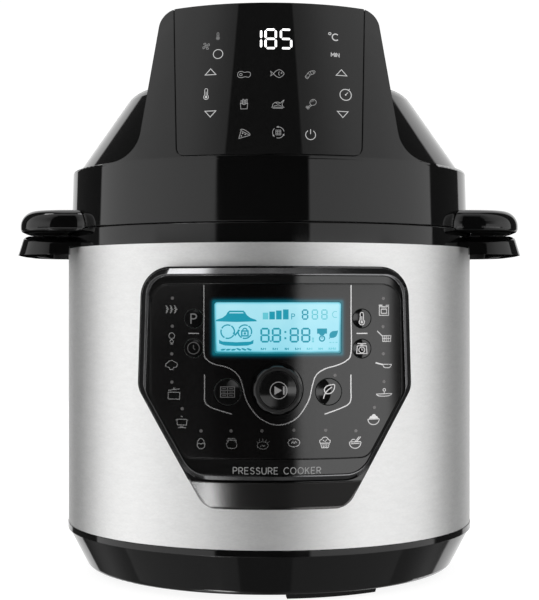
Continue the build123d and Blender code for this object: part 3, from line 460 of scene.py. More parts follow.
# =============================================================== thin printed and lit shapes
class Ink:
    """Flat shapes in millimetres, as lists of convex polygons."""

    weight = 1.0

    def __init__(self):
        self.polys = []

    def strip(self, pts, w, closed=False):
        w *= Ink.weight
        p = [Vector(q) for q in pts]
        # split long runs, so that the print follows a curved face
        q = []
        n = len(p)
        for i in range(n if closed else n - 1):
            a, b = p[i], p[(i + 1) % n]
            k = max(1, int((b - a).length / 2.2))
            for j in range(k):
                q.append(a.lerp(b, j / k))
        if not closed:
            q.append(p[-1])
        p = q
        n = len(p)
        L, R = [], []
        for i in range(n):
            if closed:
                a, b, c = p[i - 1], p[i], p[(i + 1) % n]
            else:
                a, b, c = p[max(i - 1, 0)], p[i], p[min(i + 1, n - 1)]
            d1 = (b - a) if (b - a).length > 1e-9 else (c - b)
            d2 = (c - b) if (c - b).length > 1e-9 else (b - a)
            d1, d2 = d1.normalized(), d2.normalized()
            n1, n2 = Vector((-d1.y, d1.x)), Vector((-d2.y, d2.x))
            m = n1 + n2
            if m.length < 1e-6:
                m = n1
            m.normalize()
            k = 1.0 / max(0.45, m.dot(n1))
            L.append(b + m * (w / 2 * k))
            R.append(b - m * (w / 2 * k))
        for i in range(n if closed else n - 1):
            j = (i + 1) % n
            self.polys.append([R[i], R[j], L[j], L[i]])
        return self

    def fill(self, pts):
        v = [Vector((a[0], a[1], 0.0)) for a in pts]
        for t in tessellate_polygon([v]):
            tri = [Vector((v[i].x, v[i].y)) for i in t]
            area = (tri[1] - tri[0]).cross(tri[2] - tri[0])
            if abs(area) < 1e-7:
                continue
            if area < 0:
                tri.reverse()
            self._slice(tri)
        return self

    def _slice(self, poly):
        x0, x1 = min(p.x for p in poly), max(p.x for p in poly)
        k = int(x0 // 2.0)
        while k * 2.0 < x1:
            a, b = k * 2.0, k * 2.0 + 2.0
            s = self._clip(self._clip(poly, a, 1), b, -1)
            if len(s) >= 3:
                self.polys.append(s)
            k += 1

    @staticmethod
    def _clip(poly, x, side):
        out = []
        for i in range(len(poly)):
            p, q = poly[i - 1], poly[i]
            ip, iq = (p.x - x) * side >= -1e-9, (q.x - x) * side >= -1e-9
            if ip != iq:
                t = (x - p.x) / (q.x - p.x)
                out.append(p.lerp(q, t))
            if iq:
                out.append(q)
        res = []
        for p in out:
            if not res or (p - res[-1]).length > 1e-6:
                res.append(p)
        if len(res) > 1 and (res[0] - res[-1]).length < 1e-6:
            res.pop()
        return res

    def arc(self, cx, cy, r, a0, a1, w, n=None, ry=None):
        ry = r if ry is None else ry
        n = n or max(6, int(abs(a1 - a0) / 14))
        return self.strip([(cx + r * cos(radians(a0 + (a1 - a0) * i / n)), cy + ry * sin(radians(a0 + (a1 - a0) * i / n))) for i in range(n + 1)], w)

    def ring(self, cx, cy, r, w, n=28, ry=None):
        ry = r if ry is None else ry
        return self.strip([(cx + r * cos(2 * pi * i / n), cy + ry * sin(2 * pi * i / n)) for i in range(n)], w, True)

    def disc(self, cx, cy, r, n=20, ry=None):
        ry = r if ry is None else ry
        return self.fill([(cx + r * cos(2 * pi * i / n), cy + ry * sin(2 * pi * i / n)) for i in range(n)])

    def rect(self, x0, y0, x1, y1):
        return self.fill([(x0, y0), (x1, y0), (x1, y1), (x0, y1)])

    def add(self, other, dx=0.0, dy=0.0, s=1.0, rot=0.0):
        c, q = cos(rot), sin(rot)
        for p in other.polys:
            self.polys.append([Vector((dx + s * (v.x * c - v.y * q), dy + s * (v.x * q + v.y * c))) for v in p])
        return self

    def build(self, name, body, mat, place, t0=-0.03, t1=0.05, slot=None):
        """Makes a thin closed relief: place(x, y, height) gives a point in mm."""
        bm = bmesh.new()
        top, faces = {}, []

        def vert(v):
            k = (round(v.x, 3), round(v.y, 3))
            if k not in top:
                top[k] = bm.verts.new(Vector(place(v.x, v.y, t1)) * MM)
                top[k].index = len(top) - 1
            return top[k]

        keys = {}
        for p in self.polys:
            vs = []
            for v in p:
                w = vert(v)
                if w not in vs:
                    vs.append(w)
                    keys[w] = (v.x, v.y)
            if len(vs) >= 3:
                try:
                    faces.append(bm.faces.new(vs))
                except ValueError:
                    pass
        bm.normal_update()
        low = {}
        for w, (x, y) in list(keys.items()):
            low[w] = bm.verts.new(Vector(place(x, y, t0)) * MM)
        edges = [e for e in bm.edges if len(e.link_faces) == 1]
        pairs = []
        for e in edges:
            f = e.link_faces[0]
            for lp in f.loops:
                if lp.edge == e:
                    pairs.append((lp.vert, lp.link_loop_next.vert))
        for f in faces:
            try:
                bm.faces.new([low[v] for v in reversed(f.verts[:])])
            except (ValueError, KeyError):
                pass
        for a, b in pairs:
            try:
                bm.faces.new([b, a, low[a], low[b]])
            except ValueError:
                pass
        bmesh.ops.recalc_face_normals(bm, faces=bm.faces)
        me = bpy.data.meshes.new(name)
        bm.to_mesh(me)
        bm.free()
        me.materials.append(MATS[mat])
        o = bpy.data.objects.new(name, me)
        scene.collection.objects.link(o)
        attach(o, body)
        return o


def smooth(pts, n=4, closed=False):
    """Catmull-Rom through the points."""
    p = [Vector(q) for q in pts]
    m = len(p)
    out = []
    for i in range(m if closed else m - 1):
        if closed:
            a, b, c, d = p[i - 1], p[i], p[(i + 1) % m], p[(i + 2) % m]
        else:
            a, b, c, d = p[max(i - 1, 0)], p[i], p[i + 1], p[min(i + 2, m - 1)]
        for j in range(n):
            t = j / n
            out.append(0.5 * ((2 * b) + (c - a) * t + (2 * a - 5 * b + 4 * c - d) * t * t + (3 * b - a - 3 * c + d) * t ** 3))
    if not closed:
        out.append(p[-1])
    return [(q.x, q.y) for q in out]


def turned(x, y, z):
    c, s = cos(PANEL_TURN), sin(PANEL_TURN)
    return (x * c - y * s, x * s + y * c, z)


def on_panel(R):
    return lambda x, z, h: turned(x * (R + h) / R, -sqrt(max((R + h) ** 2 - (x * (R + h) / R) ** 2, 1.0)), z)


def face_r(z):
    return HEAD_R1 - (HEAD_R1 - CREST_R) * (z - SHOULDER_Z) / (CREST_Z - SHOULDER_Z)


LEAN = atan2(HEAD_R1 - CREST_R, CREST_Z - SHOULDER_Z)


def on_touch(x, z, h):
    r = face_r(z)
    y = -sqrt(r * r - x * x)
    k = 1 + h * cos(LEAN) / r
    return (x * k, y * k, z + h * sin(LEAN))


W = 0.5   # line weight of the icons


# ---- icons, each about 8 mm across
def ic_chevrons():
    i = Ink()
    for dx in (-2.5, 0.0, 2.5):
        i.strip([(dx - 0.8, 2.2), (dx + 0.2, 1.0), (dx - 0.4, 0.6), (dx + 0.7, 0.0), (dx - 0.4, -0.8), (dx + 0.2, -1.2), (dx - 0.8, -2.3)], 0.62)
    return i


def ic_beads():
    return Ink().ring(0, 1.9, 1.7, W).ring(0, -1.4, 1.0, W).strip([(0, -2.4), (0, -3.4)], W).strip([(-0.9, -2.9), (0.9, -2.9)], 0.5)


def ic_cloud():
    i = Ink().strip(smooth([(-1.5, -1.4), (-3.1, -1.0), (-3.4, 0.5), (-2.2, 1.4), (-1.2, 2.3), (0.4, 2.6), (1.8, 1.9), (3.2, 1.2), (3.5, -0.2), (2.6, -1.3), (1.3, -1.4)], 3), W)
    return i.strip([(-1.2, -1.4), (-0.9, -2.7), (0.9, -2.7), (1.2, -1.4)], W)


def ic_pot():
    i = Ink().strip([(-3.4, 1.2), (-3.4, -2.8), (3.4, -2.8), (3.4, 1.2), (-3.4, 1.2)], W, False)
    return i.strip([(-3.4, 2.2), (3.3, 3.2)], W).strip([(-0.2, 2.8), (-0.1, 3.6), (0.9, 3.7)], 0.5)


def ic_fondue():
    i = Ink().strip([(-2.9, 2.0), (-2.7, -1.3), (2.7, -1.3), (2.9, 2.0), (-2.9, 2.0)], W)
    return i.strip([(-3.6, 1.6), (-2.9, 1.6)], W).strip([(2.9, 1.6), (3.6, 1.6)], W).strip([(-2.4, -2.8), (2.4, -2.8)], W).strip([(-1.0, -1.8), (0, -2.6), (1.0, -1.8)], W).disc(0, 3.6, 0.45)


def ic_egg():
    i = Ink().strip([(2.2 * sin(a) * (1 - 0.18 * cos(a)), 3.0 * cos(a)) for a in [2 * pi * k / 26 for k in range(26)]], W, True)
    return i.strip([(-2.2, -0.2), (-1.1, 0.3), (0, -0.3), (1.1, 0.3), (2.2, -0.2)], 0.5)


def ic_jar():
    i = Ink().strip(smooth([(-2.0, 1.2), (-2.9, -0.4), (-2.4, -2.6), (0, -3.1), (2.4, -2.6), (2.9, -0.4), (2.0, 1.2)], 3), W)
    return i.strip([(-2.9, 1.5), (2.9, 1.5)], W).strip([(-2.4, 2.7), (2.4, 2.7)], W).strip([(-2.6, 2.1), (2.6, 2.1)], 0.35)


def ic_bun():
    i = Ink().ring(0, -0.9, 3.2, W, 28, 2.1).strip(smooth([(-1.4, -1.6), (-0.3, -0.6), (0.4, -1.4), (1.5, -0.7)], 3), 0.5)
    for a in (60, 90, 120, 35, 145):
        c, s = cos(radians(a)), sin(radians(a))
        i.strip([(3.0 * c * 1.1, -0.9 + 2.6 * s), (3.7 * c * 1.2, -0.9 + 3.9 * s)], 0.5)
    return i


def ic_bread():
    return Ink().ring(0, 0, 3.4, W, 28, 2.4).strip(smooth([(-1.5, -0.6), (-0.7, 0.7), (0.1, -0.4), (0.9, 0.7), (1.6, -0.2)], 3), 0.5)


def ic_muffin():
    i = Ink().strip(smooth([(-2.9, -0.2), (-3.1, 1.2), (-1.9, 1.9), (-1.2, 2.9), (0.2, 3.2), (1.4, 2.7), (2.0, 1.8), (3.1, 1.1), (2.9, -0.2)], 3), W)
    i.strip([(-2.9, -0.3), (2.9, -0.3)], W).strip([(-2.6, -0.4), (-1.8, -3.0), (1.8, -3.0), (2.6, -0.4)], W)
    for x in (-1.0, 0.0, 1.0):
        i.strip([(x * 1.2, -0.6), (x * 0.85, -2.8)], 0.4)
    return i.disc(-0.9, 1.2, 0.35).disc(0.9, 1.5, 0.35).disc(0.1, 0.7, 0.35)


def ic_bowl():
    i = Ink().strip(smooth([(-3.5, 0.6), (-2.9, -1.6), (-1.2, -2.9), (1.2, -2.9), (2.9, -1.6), (3.5, 0.6)], 3), W).strip([(-3.5, 0.7), (3.5, 0.7)], W)
    i.strip([(-2.6, -0.3), (2.6, -0.3)], 0.45).strip([(0.9, 0.9), (3.4, 3.6)], 0.5).strip([(0.0, 0.9), (2.4, 3.7)], 0.5)
    return i.strip(smooth([(-2.6, 1.0), (-1.6, 2.2), (-0.2, 2.0)], 3), W)


def ic_rice():
    i = Ink().fill([(-2.9, 0.5), (-2.2, 1.8), (-1.2, 2.2), (-0.5, 3.1), (0.9, 3.0), (1.5, 2.1), (2.4, 1.6), (2.9, 0.5)])
    return i.strip(smooth([(-3.6, 0.1), (-2.8, -1.8), (-1.2, -2.9), (1.2, -2.9), (2.8, -1.8), (3.6, 0.1)], 3), W).strip([(-3.6, 0.2), (3.6, 0.2)], W)


def ic_toaster():
    i = Ink().strip([(-2.9, 2.2), (-2.9, -2.9), (2.9, -2.9), (2.9, 2.2)], W, True)
    i.strip([(-1.7, 0.6), (-1.7, -1.7), (1.7, -1.7), (1.7, 0.6)], 0.5, True)
    return i.strip([(-3.2, 3.0), (-1.0, 3.0)], 0.8).strip([(1.0, 3.0), (3.2, 3.0)], 0.5).strip([(-1.7, 1.4), (1.7, 1.4)], 0.4)


def ic_basket():
    i = Ink().strip([(-5.0, 3.8), (-1.8, 0.8)], 0.6)
    i.strip([(-1.8, 1.0), (-1.5, -2.4), (3.3, -2.4), (3.5, 1.0), (-1.8, 1.0)], W)
    for x in (-0.6, 0.6, 1.8):
        i.strip([(x, 0.9), (x + 0.1, -2.3)], 0.45)
    return i.strip([(-1.6, -0.7), (3.4, -0.7)], 0.45)


def ic_pan():
    return Ink().strip([(-5.4, 1.4), (-1.0, 0.2)], 0.9).strip([(-1.0, 0.4), (4.8, 0.2)], W).strip(smooth([(-1.0, 0.3), (-0.2, -1.3), (1.5, -1.7), (3.4, -1.5), (4.7, 0.2)], 3), W)


def ic_tray():
    i = Ink().strip([(-5.0, -0.8), (4.8, -0.8)], W).strip(smooth([(-5.0, -0.8), (-3.6, -1.9), (0, -2.2), (3.4, -1.9), (4.8, -0.8)], 3), 0.5)
    return i.ring(0, 1.5, 0.8, 0.5, 14).strip([(0, 0.7), (0, -0.6)], 0.5)


def ic_clock(r=3.4):
    return Ink().ring(0, 0, r, 0.55, 36).strip([(0, r * 0.55), (0, -0.1), (r * 0.28, -r * 0.26)], 0.55)


def ic_letter_p():
    return Ink().strip(smooth([(-1.45, 2.6), (0.5, 2.6), (1.55, 1.9), (1.55, 0.6), (0.5, -0.1), (-1.45, -0.1)], 4), 0.8).strip([(-1.45, 3.0), (-1.45, -3.0)], 0.8)


def ic_thermo(s=1.0):
    i = Ink().strip([(-0.95, -0.9)] + [(0.95 * cos(radians(a)), 2.7 + 0.95 * sin(radians(a))) for a in range(180, -1, -20)] + [(0.95, -0.9)], 0.55)
    i.arc(0, -2.2, 1.6, 128, 412, 0.55).disc(0, -2.2, 0.8, 14).strip([(0, -1.5), (0, 1.4)], 0.5)
    return i


def ic_scale():
    i = Ink().strip([(-2.7, 1.7), (-3.1, -2.9), (3.1, -2.9), (2.7, 1.7), (-2.7, 1.7)], W).ring(0, -0.8, 1.75, 0.5, 20)
    return i.strip([(0, 0.2), (0, -0.8), (0.8, -0.8)], 0.4).strip([(-2.6, 3.0), (2.6, 3.0)], 0.55).strip([(-0.9, 2.3), (0.9, 2.3)], 0.5)


def ic_menu():
    i = Ink()
    i.strip([(-4.0, -3.0), (4.0, -3.0), (4.0, 3.0), (-4.0, 3.0)], 0.55, True)
    i.strip([(0, -2.9), (0, 2.9)], 0.45).strip([(-3.9, 1.0), (3.9, 1.0)], 0.45).strip([(-3.9, -1.0), (3.9, -1.0)], 0.45)
    for x in (-2.0, 2.0):
        for y in (2.0, 0.0, -2.0):
            i.strip([(x - 1.1, y), (x + 1.1, y)], 0.4)
    return i


def ic_leaf():
    i = Ink().strip(smooth([(-1.6, -0.9), (-2.4, 1.2), (-1.3, 3.0), (1.0, 3.9), (3.3, 4.0), (3.2, 1.6), (1.9, -0.4), (0.0, -1.1), (-1.6, -0.9)], 3), 0.6)
    return i.strip(smooth([(2.0, 2.7), (-0.6, 0.7), (-2.2, -1.6), (-2.9, -4.0)], 4), 0.6)


def ic_fan():
    i = Ink()
    for k in range(4):
        a = k * pi / 2 + 0.4
        i.strip(smooth([(0.4 * cos(a), 0.4 * sin(a)), (2.2 * cos(a - 0.25), 2.2 * sin(a - 0.25)), (2.6 * cos(a + 0.35), 2.6 * sin(a + 0.35)), (0.5 * cos(a + 0.5), 0.5 * sin(a + 0.5))], 3), 0.45)
    return i


def ic_tri(up=1):
    return Ink().strip([(-3.3, -1.9 * up), (0, 1.9 * up), (3.3, -1.9 * up)], 0.55, True)


def ic_steak():
    i = Ink().strip(smooth([(-4.0, -0.2), (-3.4, 1.6), (-1.6, 2.1), (0.4, 1.4), (2.2, 1.7), (3.9, 1.2), (4.1, -0.7), (2.9, -1.9), (0.6, -1.5), (-1.4, -2.1), (-3.4, -1.6)], 3, True), 0.5, True)
    return i.ring(-1.9, 0, 0.8, 0.5, 14)


def ic_fish():
    i = Ink().strip(smooth([(-2.2, 0.0), (-0.4, 2.0), (1.6, 2.6), (3.6, 1.2), (4.3, 0.0), (3.4, -1.4), (1.4, -2.6), (-0.6, -1.8)], 3, True), 0.5, True)
    return i.strip([(-2.2, 0), (-4.2, 1.6), (-3.7, 0), (-4.2, -1.6)], 0.5, True).disc(2.7, 0.4, 0.4).strip(smooth([(1.4, 1.4), (0.8, 0.2), (1.5, -1.3)], 3), 0.45)


def ic_shrimp():
    i = Ink().strip(smooth([(3.4, 2.6), (1.4, 2.6), (-0.8, 1.6), (-2.0, -0.2), (-3.0, -1.6), (-1.6, -2.9), (-0.6, -1.6), (0.4, -0.2), (2.2, 0.4), (3.2, 1.4)], 3, True), 0.5, True)
    return i.strip([(0.2, 2.0), (1.0, 0.3)], 0.45).strip([(-1.2, 1.0), (0.2, -0.3)], 0.45).strip([(2.0, 2.5), (2.5, 1.0)], 0.45).strip([(-2.6, -1.6), (-1.0, -2.0)], 0.4)


def ic_fries():
    i = Ink().strip([(-2.4, 0.6), (-2.1, -3.3), (2.1, -3.3), (2.4, 0.6), (0, -0.3)], 0.5, True)
    for x, h in ((-1.7, 2.5), (-0.6, 3.4), (0.6, 2.8), (1.7, 3.3)):
        i.strip([(x - 0.35, 0.2), (x - 0.35, h), (x + 0.45, h), (x + 0.45, 0.2)], 0.4)
    return i


def ic_roast():
    i = Ink().strip([(-4.2, -2.2), (4.2, -2.2)], 0.5).strip([(-3.3, -2.9), (3.3, -2.9)], 0.45)
    i.strip(smooth([(-3.4, -1.9), (-3.2, -0.2), (-1.6, 1.0), (0.4, 1.2), (1.8, 0.6), (3.0, 1.9), (4.0, 2.6), (3.3, 1.1), (2.8, -0.2), (3.4, -1.9)], 3), 0.5)
    return i.strip(smooth([(-1.4, 0.9), (-0.2, 0.0), (1.2, 0.2)], 3), 0.4).strip(smooth([(-2.6, -1.5), (0, -0.8), (2.6, -1.5)], 3), 0.4)


def ic_drumstick():
    i = Ink().strip(smooth([(0.6, -0.9), (-0.3, 0.8), (0.6, 2.6), (2.4, 3.2), (3.9, 2.0), (3.7, 0.2), (2.2, -0.9)], 3, True), 0.5, True)
    i.strip([(0.3, -0.6), (-1.7, -2.2)], 0.5).strip([(0.9, -1.1), (-1.1, -2.8)], 0.5)
    return i.ring(-2.2, -2.3, 0.65, 0.45, 12).ring(-1.5, -3.0, 0.65, 0.45, 12).arc(1.9, 1.4, 0.9, 40, 190, 0.4)


def ic_pizza():
    i = Ink().strip([(-3.4, -2.9), (-2.0, 2.4), (3.7, -0.9)], 0.5, True)
    i.strip(smooth([(-2.6, 2.6), (-1.5, 3.3), (0.6, 2.6), (2.9, 0.9), (3.9, -0.3)], 3), 0.5)
    return i.disc(-1.0, 0.6, 0.5, 12).disc(0.7, -0.2, 0.45, 12).disc(-1.8, -1.2, 0.45, 12)


def ic_defrost():
    i = Ink()
    for k in range(3):
        i.arc(0, 0, 3.5, 120 * k + 12, 120 * k + 88, 0.5)
        a = radians(120 * k + 96)
        c, s = 3.5 * cos(a), 3.5 * sin(a)
        t = a + pi / 2
        i.fill([(c + 0.9 * cos(t), s + 0.9 * sin(t)), (c + 0.75 * cos(t + 2.2), s + 0.75 * sin(t + 2.2)), (c + 0.75 * cos(t - 2.2), s + 0.75 * sin(t - 2.2))])
    i.strip([(-1.5, -1.5), (1.5, -1.5), (1.5, 1.5), (-1.5, 1.5)], 0.4, True)
    for q in (-0.5, 0.5):
        i.strip([(q, -1.5), (q, 1.5)], 0.3).strip([(-1.5, q), (1.5, q)], 0.3)
    return i


def ic_power():
    return Ink().arc(0, -0.3, 3.0, 122, 418, 0.6, 26).strip([(0, 0.2), (0, 3.2)], 0.6)


def ic_timer():
    i = Ink().ring(0, 0, 3.5, 0.6, 36).strip([(0, 0), (1.4, 1.5)], 0.5)
    return i.disc(0, 0, 0.5, 12).strip([(1.9, 3.2), (2.6, 3.9)], 0.5)


def seg7(digit, h, w, t, slant=0.0, gap=0.12):
    """Seven-segment digit centred on 0."""
    on = {"0": "abcdef", "1": "bc", "5": "afgcd", "8": "abcdefg"}[digit]
    i = Ink()
    hw, hh = w / 2, h / 2

    def seg(x0, y0, x1, y1):
        d = Vector((x1 - x0, y1 - y0))
        L = d.length
        d.normalize()
        n = Vector((-d.y, d.x)) * (t / 2)
        a, b = Vector((x0, y0)) + d * gap, Vector((x1, y1)) - d * gap
        q = d * (t / 2)
        pts = [a, a + q - n, b - q - n, b, b - q + n, a + q + n]
        i.fill([(p.x + p.y * slant, p.y) for p in pts])

    s = {"a": (-hw, hh, hw, hh), "b": (hw, hh, hw, 0), "c": (hw, 0, hw, -hh), "d": (-hw, -hh, hw, -hh), "e": (-hw, 0, -hw, -hh), "f": (-hw, hh, -hw, 0), "g": (-hw, 0, hw, 0)}
    for k in on:
        seg(*s[k])
    return i


# ---- simple stroke capitals for generic words
GLYPH = {
    "P": [[(0, 0), (0, 1)], "P"], "R": [[(0, 0), (0, 1)], "P", [(0.32, 0.47), (0.62, 0)]], "E": [[(0.58, 1), (0, 1), (0, 0), (0.58, 0)], [(0, 0.52), (0.5, 0.52)]],
    "S": ["S"], "U": ["U"], "C": ["C"], "O": ["O"], "K": [[(0, 0), (0, 1)], [(0.6, 1), (0, 0.42)], [(0.2, 0.6), (0.62, 0)]],
    "M": [[(0, 0), (0, 1), (0.4, 0.4), (0.8, 1), (0.8, 0)]], "I": [[(0, 0), (0, 1)]], "N": [[(0, 0), (0, 1), (0.65, 0), (0.65, 1)]],
}
WIDE = {"P": 0.58, "R": 0.62, "E": 0.58, "S": 0.6, "U": 0.68, "C": 0.74, "O": 0.86, "K": 0.64, "M": 0.8, "I": 0.0, "N": 0.65, " ": 0.35}


def word(text, h, w, track=0.26):
    i = Ink()
    x = 0.0
    for ch in text:
        for g in GLYPH.get(ch, []):
            if g == "P":
                g = smooth([(0, 1), (0.32, 1), (0.56, 0.88), (0.58, 0.62), (0.34, 0.47), (0, 0.47)], 3)
            elif g == "S":
                g = smooth([(0.56, 0.84), (0.34, 1.0), (0.08, 0.88), (0.1, 0.62), (0.34, 0.5), (0.56, 0.36), (0.56, 0.12), (0.3, 0.0), (0.02, 0.14)], 3)
            elif g == "U":
                g = smooth([(0, 1), (0, 0.36), (0.12, 0.06), (0.34, 0), (0.56, 0.06), (0.68, 0.36), (0.68, 1)], 3)
            elif g == "C":
                g = [(0.43 + 0.43 * cos(radians(a)), 0.5 + 0.5 * sin(radians(a))) for a in range(45, 316, 18)]
            elif g == "O":
                g = [(0.43 + 0.43 * cos(radians(a)), 0.5 + 0.5 * sin(radians(a))) for a in range(0, 361, 18)]
            i.strip([((x + p[0]) * h, p[1] * h) for p in g], w)
        x += WIDE[ch] + track
    total = (x - track) * h
    out = Ink()
    return out.add(i, -total / 2, -h / 2)


# =============================================================== prints of the control panel
P = Ink()
curve = [(-42.3, 188.3), (-42.3, 170), (-42.3, 149.5), (-40.5, 145), (-36, 142.4), (-28.5, 140.5), (-23.4, 137.1), (-20.5, 132), (-17.7, 121.7), (-12, 113.2), (-5.2, 108.7), (0.5, 107.5),
         (6.3, 108.6), (12.6, 112.6), (18.3, 121.6), (20.3, 129.6), (22.6, 136.0), (27.6, 139.6), (35.2, 141.8), (40.6, 144.4), (43.3, 149.2), (43.3, 170), (43.3, 188.3)]
P.strip(smooth(curve, 6), 0.62)
P.strip(smooth([(-41.9, 136.4), (-41.9, 128), (-41.9, 121.6), (-40.2, 118.6), (-36.2, 116.6), (-26.2, 113.6)], 5), 0.62)
P.strip(smooth([(43.2, 136.2), (43.2, 128), (43.2, 121.8), (41.6, 118.9), (37.4, 116.8), (27.6, 113.4)], 5), 0.62)
P.strip([(-51.5, 160.2), (-45.1, 160.2)], 0.6)
P.strip([(46.6, 160.1), (53.2, 160.1)], 0.6)
P.build("fascia_print", "base", "ink_silver", on_panel(PAN_R), slot="fascia_black")
C = Ink()
Ink.weight = 0.88
for fn, x, z in (
    (ic_chevrons, -61.4, 174.2), (ic_beads, -61.2, 156.8), (ic_cloud, -61.4, 141.6), (ic_pot, -59.9, 124.5), (ic_fondue, -55.2, 108.0), (ic_egg, -44.0, 96.2),
    (ic_jar, -26.2, 96.9), (ic_bun, -8.3, 96.6), (ic_bread, 9.7, 97.2), (ic_muffin, 27.8, 97.0), (ic_bowl, 45.8, 96.2), (ic_rice, 57.0, 109.6),
    (ic_toaster, 63.4, 173.5), (ic_basket, 64.2, 157.6), (ic_pan, 63.6, 141.4), (ic_tray, 63.6, 125.2),
):
    C.add(fn(), x, z)
Ink.weight = 1.0
C.build("fascia_icons", "base", "ink_icon", on_panel(PAN_R), slot="fascia_black")

D = Ink()
for x, z in ((-60.85, 180.7), (-60.85, 164.3), (-61.2, 148.1), (-61.1, 131.6), (-55, 116.2), (-44, 103.6), (-26.6, 103.9), (-8.8, 104.1), (9.7, 104.4), (28.2, 104.1), (46.2, 103.3), (57.5, 116.6),
             (63, 180.5), (62.8, 163.9), (63, 148.0), (63.4, 131.6), (33.7, 135.9)):
    D.disc(x, z, 0.95, 18)
D.build("fascia_lamps", "base", "ink_soft", on_panel(PAN_R), slot="fascia_black")

word("PRESSURE COOKER", 3.7, 0.5, 0.30).build("panel_words", "base", "ink_word", lambda x, z, h: on_panel(PAN_R)(x, z + 81.0, h), slot="gloss_black")


# ---- the display's segments
S = Ink()
F = Ink()
# cooker symbol: lid with handle
S.fill([(-35.6, 167.3), (-35.0, 168.2), (-31.6, 169.3), (-29.6, 170.8), (-17.4, 170.8), (-15.4, 169.3), (-12.2, 168.2), (-11.6, 167.3), (-23.6, 166.9)])
S.fill([(-29.6, 170.8), (-28.9, 171.9), (-18.1, 171.9), (-17.4, 170.8)])
S.strip([(-28.6, 171.8), (-27.4, 173.0), (-19.6, 173.0), (-18.4, 171.8)], 0.95)
for cx in (-28.5, -18.6):
    for a0, a1 in ((66, 152), (162, 242), (252, 332), (-22, 58)):
        S.arc(cx, 161.3, 3.9, a0, a1, 0.75)
S.strip([(-25.4, 160.7), (-24.1, 159.4), (-21.7, 162.4)], 0.85)
S.strip([(-20.4, 158.9), (-16.8, 158.9), (-16.8, 161.7), (-20.4, 161.7)], 0.8, True)
S.arc(-18.6, 162.0, 1.25, 0, 180, 0.7).disc(-18.6, 160.3, 0.7, 10)
S.fill([(-33.6, 156.6), (-31.6, 155.6), (-23.5, 155.2), (-15.4, 155.6), (-13.6, 156.6), (-13.8, 154.4), (-17.0, 153.3), (-23.5, 153.0), (-30.2, 153.3), (-33.4, 154.4)])
for k in range(6):
    sgn = -1 if k < 3 else 1
    x = -31.0 + k * 3.0
    S.fill([(x - 1.7, 151.3 + 0.5 * sgn), (x - 0.6, 151.6 + 0.2 * sgn), (x + 1.5, 151.2 - 0.2 * sgn), (x + 0.6, 150.4 - 0.1 * sgn), (x - 1.0, 150.6 + 0.3 * sgn)])
# rising bars
for k, x in enumerate((-8.3, -4.5, -0.6, 3.4)):
    (F if k == 0 else S).rect(x, 168.4, x + 3.2, 172.3 + k * 0.62)
S.add(ic_letter_p(), 9.2, 170.1, 0.56)
S.add(seg7("8", 5.2, 3.0, 0.85), 16.2, 171.2)
F.add(seg7("8", 5.2, 3.0, 0.7), 21.9, 171.2).add(seg7("8", 5.2, 3.0, 0.7), 27.5, 171.2)
F.arc(34.0, 171.2, 1.8, 60, 300, 0.35)
for x in (-7.0, -0.4, 9.9, 16.6):
    S.add(seg7("8", 7.5, 4.3, 1.05), x, 159.3)
S.rect(4.2, 160.6, 5.3, 161.7).rect(4.2, 157.0, 5.3, 158.1)
S.rect(-4.1, 155.4, -3.2, 156.3)
F.rect(20.2, 157.2, 21.4, 157.8).rect(20.2, 156.2, 21.4, 156.8).rect(20.2, 155.2, 21.4, 155.8)
S.rect(23.2, 160.1, 29.0, 163.1).fill([(24.4, 160.1), (27.8, 160.1), (27.2, 159.2), (25.0, 159.2)]).ring(26.1, 157.3, 1.5, 0.75, 20).strip([(26.1, 158.2), (26.1, 157.2)], 0.5)
S.fill([(p[0] * 0.5 + 33.0, p[1] * 0.5 + 159.7) for p in smooth([(-4.6, -3.6), (-4.8, 0.6), (-1.6, 3.6), (3.0, 4.0), (4.8, 4.4), (4.4, 1.0), (2.6, -2.6), (-1.2, -4.2)], 3, True)])
S.strip([(30.2, 157.2), (31.2, 158.2)], 0.5)
for k, (x, wd) in enumerate(((-9.2, 3.8), (-2.4, 3.8), (4.6, 2.8), (10.6, 4.1), (17.4, 4.1), (24.2, 3.2), (30.2, 5.2))):
    T = S if k < 4 else F
    n = max(3, int(wd / 1.2))
    for j in range(n):
        xx = x + j * wd / n
        T.strip([(xx, 150.8), (xx, 152.0)], 0.42)
        if j < n - 1:
            T.strip([(xx, 151.4 if j % 2 else 152.0), (xx + 0.8, 151.4 if j % 2 else 150.8)], 0.38)
F.strip([(30.4, 155.0), (31.6, 155.0)], 0.4).strip([(32.4, 155.0), (33.2, 155.0)], 0.4).strip([(34.0, 155.0), (35.2, 155.0)], 0.4)
S.build("lcd_segments", "base", "lcd_segment", on_panel(LCD_R), -0.02, 0.04, "lcd")
F.build("lcd_segments_faint", "base", "lcd_segment_faint", on_panel(LCD_R), -0.02, 0.035, "lcd")

